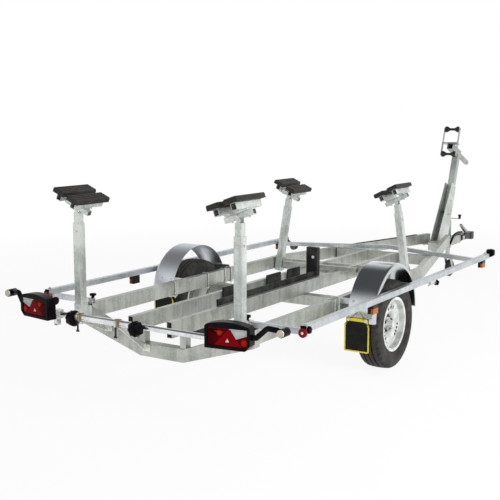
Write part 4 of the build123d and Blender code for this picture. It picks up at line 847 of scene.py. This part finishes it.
GUARD_BACK = 0.048
GUARD_Z = 0.396
GUARD_RADIUS = 0.363
guard_places = []
for side in (-1, 1):
    for angle in (158.0, 25.0):
        out = (0, math.cos(math.radians(angle)), math.sin(math.radians(angle)))
        y = WHEEL[1] - GUARD_BACK + GUARD_RADIUS * out[1]
        z = GUARD_Z + GUARD_RADIUS * out[2]
        guard_places += [((side * x, y, z), out) for x in (0.775, 0.865)]
bolts("guard_rivets", rivet, guard_places, "chassis")

# %% [markdown]
# ## U-bolts over the rails
# U-bolts hold the axle and the mudguard stays to the rails. Each is a round bar bent over the
# rail's top, with a plate and two nuts underneath.

# %% U-bolts
U_ROD = 0.0045
RAIL_FACES = (0.6325, 0.6775)
U_ROWS = ((-1, "left", (-0.535, -0.106, 0.132, 0.216)), (1, "right", (-0.482, -0.423, 0.132, 0.216)))


def u_bolt(name, side, y):
    """One U-bolt round a chassis rail at a place along the trailer."""
    inner, outer = RAIL_FACES[0] - 0.0046, RAIL_FACES[1] + 0.0046
    line = ((inner, 0.428), (inner, 0.548), (inner + 0.004, 0.5528))
    line += ((outer - 0.004, 0.5528), (outer, 0.548), (outer, 0.428))
    bar = bent_rod(name, [(side * x, y, z) for x, z in line], U_ROD, 2)
    foot = (side * CHASSIS_X, y, 0)
    plate = block_at("plate", foot, (-0.036, -0.018, 0.4400), (0.036, 0.018, 0.4476))
    nuts = [copy_of(bolt_m8, "nut", (side * x, y, 0.4398), DOWN) for x in (inner, outer)]
    return join(name, [bar, plate] + nuts)


for side, name, rows in U_ROWS:
    made = [u_bolt(f"u_bolt_{name}_{index}", side, AXLE + row) for index, row in enumerate(rows)]
    fit_bright(f"u_bolts_{name}", made)

# %% [markdown]
# ## Light bar fittings
# The light bar slides in two ring clamps. Each clamp has a yellow passivated band and a dark flat
# lever that hangs below it.

# %% Clamp bands and levers
BAR_Y = AXLE - 1.775
BAR_Z = 0.541
passivated = Finish("passivated_steel", Metallic=0.8)
tarnish = passivated.noise(70.0, 3.0)
passivated.tint(tarnish, (0.22, 0.16, 0.09), (0.48, 0.39, 0.27))
passivated.drive("Roughness", 0.25 + tarnish * 0.2)
dark_steel = dull_black("dark_steel", (0.030, 0.028, 0.030), (0.11, 0.10, 0.10), 0.35, 200.0, 0.0003)

bands = []
levers = []
for x in (-0.403, -0.098):
    bands.append(disc("band", (x, BAR_Y, BAR_Z), RIGHT, 0.0275, 0.008, 36, 0.0015))
    bar = (x, BAR_Y, BAR_Z)
    bands.append(block_at("tab", bar, (-0.004, -0.034, -0.028), (0.004, -0.022, 0.020)))
    levers.append(block_at("lever", bar, (-0.007, -0.040, -0.078), (0.007, -0.034, -0.020), 0.002))
    levers.append(block_at("toe", bar, (-0.012, -0.043, -0.084), (0.010, -0.031, -0.072), 0.003))
fit(join("clamp_bands", bands), "chassis", passivated.material)
fit(join("clamp_levers", levers), "chassis", dark_steel)

# %% [markdown]
# ## Knobs, plug socket and lamp cap
# Two star knobs lock the telescopic tube and replace the frame's plain discs. A bright bracket
# holds the plug socket, and a cap closes the left lamp's side.

# %% Knobs, socket and cap
knobs = [
    copy_of(big_knob, "grip", (0.062, BAR_Y - 0.024, 0.535), BACKWARD, 0.2),
    disc("boss", (0.064, BAR_Y - 0.022, 0.536), FORWARD, 0.016, 0.014, 20),
    copy_of(big_knob, "grip", (-0.452, BAR_Y - 0.008, 0.529), (-1, 0, 0), 0.2),
    disc("boss", (-0.457, BAR_Y - 0.008, 0.529), RIGHT, 0.050, 0.016, 40, 0.003),
]
made = fit_black("bar_star_knobs", knobs)
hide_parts("light_bar_knobs")

bar = (0, BAR_Y, 0)
socket = block_at("socket_bracket", bar, (-0.628, -0.026, 0.512), (-0.578, 0.026, 0.568), 0.003)
lower = block_at("socket_box", bar, (-0.625, -0.020, 0.468), (-0.592, 0.014, 0.5115), 0.004)
choose(lower, lambda middle, normal: normal.y < -0.9)
bpy.ops.mesh.inset(thickness=0.005, depth=-0.006)
fit_bright("plug_socket", [socket, lower])
cap = disc("lamp_cap", (-0.5895, AXLE - 1.806, 0.630), RIGHT, 0.025, 0.014, 36, 0.003)
choose(cap, lambda middle, normal: normal.x > 0.9)
bpy.ops.mesh.inset(thickness=0.006, depth=-0.002)
fit_black("lamp_cap", [cap])

# %% [markdown]
# ## Marker sleeves
# Each outline marker stands on a rubber sleeve round the frame's own stalk. Two control points
# between each pair of bends keep the smooth line close to them. A stud sits in each rear
# reflector.

# %% Marker sleeves and studs
sleeves = []
for side in (-1, 1):
    bends = [
        Vector((0.8655, -2.9874, 0.588)), Vector((0.8888, -2.9842, 0.588)), Vector((0.945, -2.964, 0.644))
    ]
    bends.append(Vector((1.004, -2.946, 0.6365)))
    line = [bends[0]]
    for first, second in zip(bends, bends[1:]):
        line += [first.lerp(second, 0.25), first.lerp(second, 0.75)]
        if second is not bends[-1]:
            line.append(second)
    line.append(bends[-1])
    sleeves.append(bent_rod("sleeve", [(side * point.x, point.y, point.z) for point in line], 0.0160))
fit_black("marker_sleeves", sleeves)

studs = []
for side in (-1, 1):
    corners = [vertex.co for vertex in nodes["rear_reflectors"].data.vertices if vertex.co.x * side > 0]
    rear = min(corner.y for corner in corners)
    disc_corners = [corner for corner in corners if corner.y < rear + 0.001]
    middle = sum(disc_corners, Vector()) / len(disc_corners)
    studs.append(copy_of(rivet, "stud", (middle.x, rear - 0.0002, middle.z), BACKWARD))
    print("reflector centre:", [round(value, 3) for value in middle])
fit_bright("reflector_studs", studs)

# %% [markdown]
# ## Clamps for the side rails
# The side rails pull out for a wide boat. Star knobs on the rear outriggers lock them, a bracket
# with a cross bolt holds each at its front, and black plugs close the tubes' ends.

# %% Side rail fittings
COLLAR_X = 0.6255
KNOB_X = 0.605

bright = []
black = []
for side in (-1, 1):
    y = AXLE - 1.452
    foot, knob_x, rail_x = (side * COLLAR_X, y, 0), side * KNOB_X, side * SIDE_RAIL_X
    bright.append(block_at("collar", foot, (-0.014, -0.022, 0.5483), (0.014, 0.022, 0.5880)))
    bright.append(disc("stem", (knob_x, y, 0.5930), UP, 0.005, 0.022, 12))
    black.append(copy_of(small_knob, "knob", (knob_x, y, 0.6025)))
    black.append(disc("neck", (knob_x, y, 0.5950), UP, 0.011, 0.016, 20, 0.003))
    y = AXLE + 0.470
    foot = (rail_x, y, 0)
    bright.append(block_at("hanger", foot, (-0.012, -0.050, 0.5460), (0.012, 0.050, 0.5668)))
    bright.append(disc("cross_bolt", (rail_x, y + 0.010, 0.5370), FORWARD, 0.0065, 0.150, 16))
    for step in (-0.034, 0.034):
        bright.append(copy_of(bolt_m8, "nut", (rail_x, y + step, 0.5460), DOWN))
    black.append(copy_of(small_knob, "knob", (rail_x, y + 0.082, 0.5370), FORWARD))
    for end in (AXLE - 1.478, AXLE + 1.730)[: 2 if side > 0 else 1]:
        foot = (rail_x, end, 0)
        black.append(block_at("plug", foot, (-0.019, -0.003, 0.568), (0.019, 0.003, 0.606), 0.0025))
    black.append(copy_of(small_knob, "knob", (side * 1.0172, AXLE - 1.455, 0.580), (side, 0, 0)))
fit_bright("rail_fittings", bright)
fit_black("rail_knobs", black)

# %% [markdown]
# ## Mud flap borders
# Each flap has a raised yellow border and two rivets. The border is a flat outline with rounded
# corners: its face is inset, the middle is deleted, and the ring that stays is extruded to a low
# ridge.

# %% Flap borders and rivets
TOUCH_GAP = 0.0003
FLAP_THICK = 0.008
FLAP_FACE = WHEEL[1] - GUARD_BACK - GUARD_RADIUS - TOUCH_GAP - FLAP_THICK
FLAP_MIDDLE = 0.820
yellow = Finish("yellow_rubber", Roughness=0.42)
scuff = yellow.noise(35.0, 4.0)
yellow.tint(yellow.smooth(scuff, 0.35, 0.75), (0.86, 0.72, 0.010), (0.66, 0.52, 0.015))
yellow.bump(scuff, 0.1, 0.0004)

borders = []
tabs = []
for side in (-1, 1):
    corners = [
        (0.7285, 0.1955), (0.9115, 0.1955), (0.9115, 0.3800), (0.8995, 0.3920),
        (0.8995, 0.4275), (0.7405, 0.4275), (0.7405, 0.3920), (0.7285, 0.3800),
    ]
    mesh = bpy.data.meshes.new("flap_border")
    mesh.from_pydata([(side * x, FLAP_FACE, z) for x, z in corners], [], [list(range(8))])
    border = new_object("flap_border", mesh)
    choose(border, lambda middle, normal: True)
    bpy.ops.mesh.bevel(offset=0.010, segments=4, affect="VERTICES")
    bpy.ops.mesh.select_all(action="SELECT")
    bpy.ops.mesh.inset(thickness=0.0088)
    bpy.ops.mesh.delete(type="ONLY_FACE")
    thicken((0, -0.0016, 0))
    borders.append(border)
    foot = (side * FLAP_MIDDLE, FLAP_FACE, 0)
    borders.append(block_at("strip", foot, (-0.0735, -0.0018, 0.4060), (0.0735, 0, 0.4220), 0.0006))
    for x in (0.757, 0.883):
        foot = (side * x, FLAP_FACE, 0)
        tabs.append(block_at("tab", foot, (-0.008, -0.0030, 0.4040), (0.008, -0.0016, 0.4270), 0.0006))
        tabs.append(copy_of(rivet, "rivet", (side * x, FLAP_FACE - 0.0028, 0.4150), BACKWARD))
fit(join("flap_borders", borders), "chassis", yellow.material)
fit_bright("flap_rivets", tabs)

# %% [markdown]
# ## Front marker lamps
# The left marker is seen from behind, where it has a grey face. The right one is a moulded block
# that narrows downward, clipped to the side rail's end.

# %% Front markers
MARKER_Y = AXLE + 1.7805
grey_face = dull_black("grey_face", (0.09, 0.09, 0.075), (0.18, 0.18, 0.15), 0.3, 500.0, 0.0003)
face = disc("front_marker_faces", (-0.950, MARKER_Y, 0.512), FORWARD, 0.029, 0.003, 40, 0.001)
choose(face, lambda middle, normal: normal.y < -0.9)
bpy.ops.mesh.inset(thickness=0.006, depth=-0.001)
fit(face, "chassis", grey_face)

foot = (0, AXLE, 0)
marker = block_at("marker_block", foot, (0.972, 1.7815, 0.580), (1.040, 1.8240, 0.634), 0.008)
choose(marker, lambda middle, normal: normal.z < -0.9)
bpy.ops.transform.resize(value=(0.55, 0.75, 1.0))
clip = block_at("marker_clip", foot, (0.966, 1.7300, 0.588), (0.975, 1.7860, 0.612), 0.002)
fit_black("marker_block", [marker])
fit_bright("marker_clip", [clip])

# %% [markdown]
# ## Jockey wheel and handbrake
# The jockey wheel's axle ends in nuts, a bar tightens its clamp, and its crank ends in a knob. The
# handbrake lever has a black grip, a strap ties the cables round the bow post's foot, and a yellow
# tag marks the lead's end.

# %% Small parts at the drawbar
JOCKEY_X, JOCKEY_Y = -0.087, AXLE + 3.730
CLAMP_Z = 0.425
CRANK_X = JOCKEY_X + 0.124

nuts = [((JOCKEY_X + side * 0.0405, JOCKEY_Y + 0.070, 0.095), (side, 0, 0)) for side in (-1, 1)]
bolts("jockey_nuts", bolt_m8, nuts, "jockey_fork")
line = [(JOCKEY_X - step, JOCKEY_Y - 0.055, CLAMP_Z) for step in (0.010, 0.040)]
bar = bent_rod("clamp_bar", line, 0.006, 2)
stem = disc("clamp_stem", (JOCKEY_X - 0.024, JOCKEY_Y - 0.037, CLAMP_Z), FORWARD, 0.0075, 0.034, 16)
fit(join("jockey_clamp_bar", [bar, stem]), "chassis", dark_steel)

grip = disc("crank_grip", (CRANK_X, JOCKEY_Y, 0.6830), UP, 0.0135, 0.040, 24, 0.003)
cap = disc("crank_cap", (CRANK_X, JOCKEY_Y, 0.7000), UP, 0.0200, 0.012, 24, 0.003)
fit_black("crank_knob", [grip, cap])

LEVER_X = 0.0493
line = [(2.2300, 0.407), (2.3250, 0.494), (2.4200, 0.514), (2.5050, 0.516), (2.5960, 0.509)]
lever_grip = bent_rod("lever_grip", [(LEVER_X, y, z) for y, z in line], 0.0130)
fit(lever_grip, "chassis", black_paint)

line = [(-0.058, 3.352, 0.480), (-0.050, 3.318, 0.468), (0, 3.308, 0.460)]
line += [(-x, along, z) for x, along, z in reversed(line[:2])]
strap = bent_rod("foot_strap", [(x, AXLE + along, z) for x, along, z in line], 0.007)
fit_black("foot_strap", [strap])

tag = block("yellow_tag", (0.0462, AXLE + 3.470, 0.4060), (0.0482, AXLE + 3.492, 0.4330), 0.0008)
fit(tag, "chassis", yellow.material)

# %% [markdown]
# ## Brake drums and wheel bolts
# Behind the slots of each rim lies the face of the brake drum, in near-black plastic finish: a
# painted shade that keeps the slots dark. Only its outer ring shows, so it is a flat disc whose
# middle is taken out. Five bolts hold the wheel.

# %% Drum faces and wheel bolts
DRUM_RADIUS = 0.1320
BOLT_CIRCLE = 0.056
BOLT_COUNT = 5

for side, name in WHEEL_SIDES:
    start()
    bpy.ops.mesh.primitive_circle_add(
        vertices=72, radius=DRUM_RADIUS, fill_type="NGON", rotation=(0, math.pi / 2, 0),
        location=(side * (WHEEL[0] + 0.0340), WHEEL[1], WHEEL[2]),
    )
    drum = bpy.context.object
    settle(drum)
    choose(drum, lambda middle, normal: True)
    bpy.ops.mesh.inset(thickness=0.0265)
    bpy.ops.mesh.delete(type="FACE")
    thicken((side * 0.0020, 0, 0))
    drum.name = f"drum_shade_face_{name}"
    # The near-black plastic finish on the real drum face is painted shade behind the slots.
    fit(drum, f"wheel_{name}", black_plastic)
    hub_places = []
    for index in range(BOLT_COUNT):
        turn = math.radians(90 + 360 / BOLT_COUNT * index)
        y, z = WHEEL[1] + BOLT_CIRCLE * math.cos(turn), WHEEL[2] + BOLT_CIRCLE * math.sin(turn)
        hub_places.append(((side * 0.8595, y, z), (side, 0, 0)))
    bolts(f"wheel_bolts_{name}", bolt_m12, hub_places, f"wheel_{name}", dark_steel)

# %% [markdown]
# ## Valves
# Each rim has a rubber valve with a small cap, which stands out of the disc between two slots.

# %% Valves
VALVE_Y = WHEEL[1] - 0.150

for side, name in WHEEL_SIDES:
    outward = (side, 0, 0)
    stem = disc("valve_stem", (side * 0.884, VALVE_Y, WHEEL[2]), outward, 0.0055, 0.024, 14, 0.0015)
    cap = disc("valve_cap", (side * 0.900, VALVE_Y, WHEEL[2]), outward, 0.0042, 0.012, 12, 0.001)
    fit(join(f"valve_{name}", [stem, cap]), f"wheel_{name}", black_plastic)

# %% [markdown]
# ## The wiring lead
# The lead to the car's plug lies along the left drawbar arm, on the same few points as the frame's
# own lead.

# %% Wiring lead
LEAD_Z = 0.5523
BEND_Y = 1.060
ARM_SLOPE = (CHASSIS_X - 0.105) / (3.190 - BEND_Y)

lead_points = []
for along, inward in ((1.810, 0.006), (2.070, -0.001), (2.420, 0.004), (2.760, 0.001), (2.990, -0.003)):
    x = inward - (CHASSIS_X - ARM_SLOPE * (along - BEND_Y))
    lead_points.append((x, AXLE + along, LEAD_Z))
lead = round_line("lead_cord", lead_points, 0.004, steps=12)
lead.data.materials.append(black_plastic)
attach(lead, "chassis")
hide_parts("wiring_lead")
print("lead of", len(lead_points), "control points")

# %% [markdown]
# ## Putting the masters away
# The bolts, the rivet and the knobs that were copied aren't part of the trailer.

# %% Put the masters away
masters = (bolt_m12, bolt_m8, rivet, big_knob, small_knob)
for master in masters:
    bpy.data.objects.remove(master)
print("masters removed:", len(masters))

# %% [markdown]
# ## Floor
# A white sweep stands for the studio. It shows near white to the camera and in mirrors, and still
# takes the trailer's soft shadow.

# %% Floor
def any_ray(tree, first, *others):
    """1 for rays of any of the kinds named, 0 for the rest."""
    rays = tree.nodes.new("ShaderNodeLightPath")
    found = rays.outputs[first]
    for kind in others:
        either = tree.nodes.new("ShaderNodeMath")
        either.operation = "MAXIMUM"
        tree.links.new(found, either.inputs[0])
        tree.links.new(rays.outputs[kind], either.inputs[1])
        found = either.outputs[0]
    return found


start()
bpy.ops.mesh.primitive_plane_add(size=80.0, location=(0, 0, 0))
floor = bpy.context.object
floor.name = "studio_floor"
floor_finish = Finish("studio_floor", (0.80, 0.80, 0.80), Roughness=1.0)
floor_tree = floor_finish.tree
glow = floor_tree.nodes.new("ShaderNodeEmission")
blend = floor_tree.nodes.new("ShaderNodeMixShader")
seen = Value(floor_finish, any_ray(floor_tree, "Is Camera Ray", "Is Glossy Ray"))
east, north, _ = floor_finish.axes()
away = floor_finish.smooth(east * east + north * north, 9.0, 60.0)
share = seen * (0.90 + away * 0.10)
floor_tree.links.new(share.socket, blend.inputs[0])
floor_tree.links.new(floor_finish.shader.outputs[0], blend.inputs[1])
floor_tree.links.new(glow.outputs[0], blend.inputs[2])
floor_tree.links.new(blend.outputs[0], floor_tree.nodes["Material Output"].inputs["Surface"])
floor.data.materials.append(floor_finish.material)
print("floor:", floor.name)

# %% [markdown]
# ## Room
# The room is bright at the height of the object and dark overhead, so that shiny metal gets
# contrast. The world is one gradient that the camera, mirrors and glass all see.

# %% World
SOFT_STRENGTH = 0.46
CEILING = 0.09

world = bpy.data.worlds.new("studio_world")
bpy.context.scene.world = world
world.use_nodes = True
sky = world.node_tree
soft_light = sky.nodes["Background"]
soft_light.inputs["Color"].default_value = (1.0, 1.0, 1.0, 1.0)
soft_light.inputs["Strength"].default_value = SOFT_STRENGTH
room = sky.nodes.new("ShaderNodeBackground")
direction = sky.nodes.new("ShaderNodeTexCoord")
split = sky.nodes.new("ShaderNodeSeparateXYZ")
fade = sky.nodes.new("ShaderNodeValToRGB")
blend = sky.nodes.new("ShaderNodeMixShader")
fade.color_ramp.interpolation = "EASE"
low, high = fade.color_ramp.elements
low.position = 0.40
low.color = (1.0, 1.0, 1.0, 1.0)
high.position = 0.82
high.color = (CEILING, CEILING * 1.02, CEILING * 1.05, 1.0)
shown = any_ray(sky, "Is Camera Ray", "Is Glossy Ray", "Is Transmission Ray")
for source, target in (
    (direction.outputs["Generated"], split.inputs[0]),
    (split.outputs["Z"], fade.inputs["Fac"]),
    (fade.outputs["Color"], room.inputs["Color"]),
    (shown, blend.inputs[0]),
    (soft_light.outputs[0], blend.inputs[1]),
    (room.outputs[0], blend.inputs[2]),
    (blend.outputs[0], sky.nodes["World Output"].inputs["Surface"]),
):
    sky.links.new(source, target)
print("world:", world.name)

# %% [markdown]
# ## Lamps
# A weak lamp overhead fills the shadows, and a key lamp at the right gives the posts a bright
# side. Neither is seen in mirrors.

# %% Lamps
def lamp(name, place, target, size, power):
    """A soft box, aimed at a point of the trailer."""
    data = bpy.data.lights.new(name, "AREA")
    data.shape = "RECTANGLE"
    data.size, data.size_y = size
    data.energy = power
    made = new_object(name, data)
    made.location = place
    aim = Vector(target) - Vector(place)
    made.rotation_euler = aim.to_track_quat("-Z", "Y").to_euler()
    made.visible_glossy = False
    print("lamp:", name, power, "W")


lamp("overhead_lamp", (0.5, -0.5, 6.0), (0, 0, 0.4), (8.0, 8.0), 150.0)
lamp("key_lamp", (7.2, -2.9, 2.8), (0, -1.0, 0.5), (3.0, 2.5), 520.0)
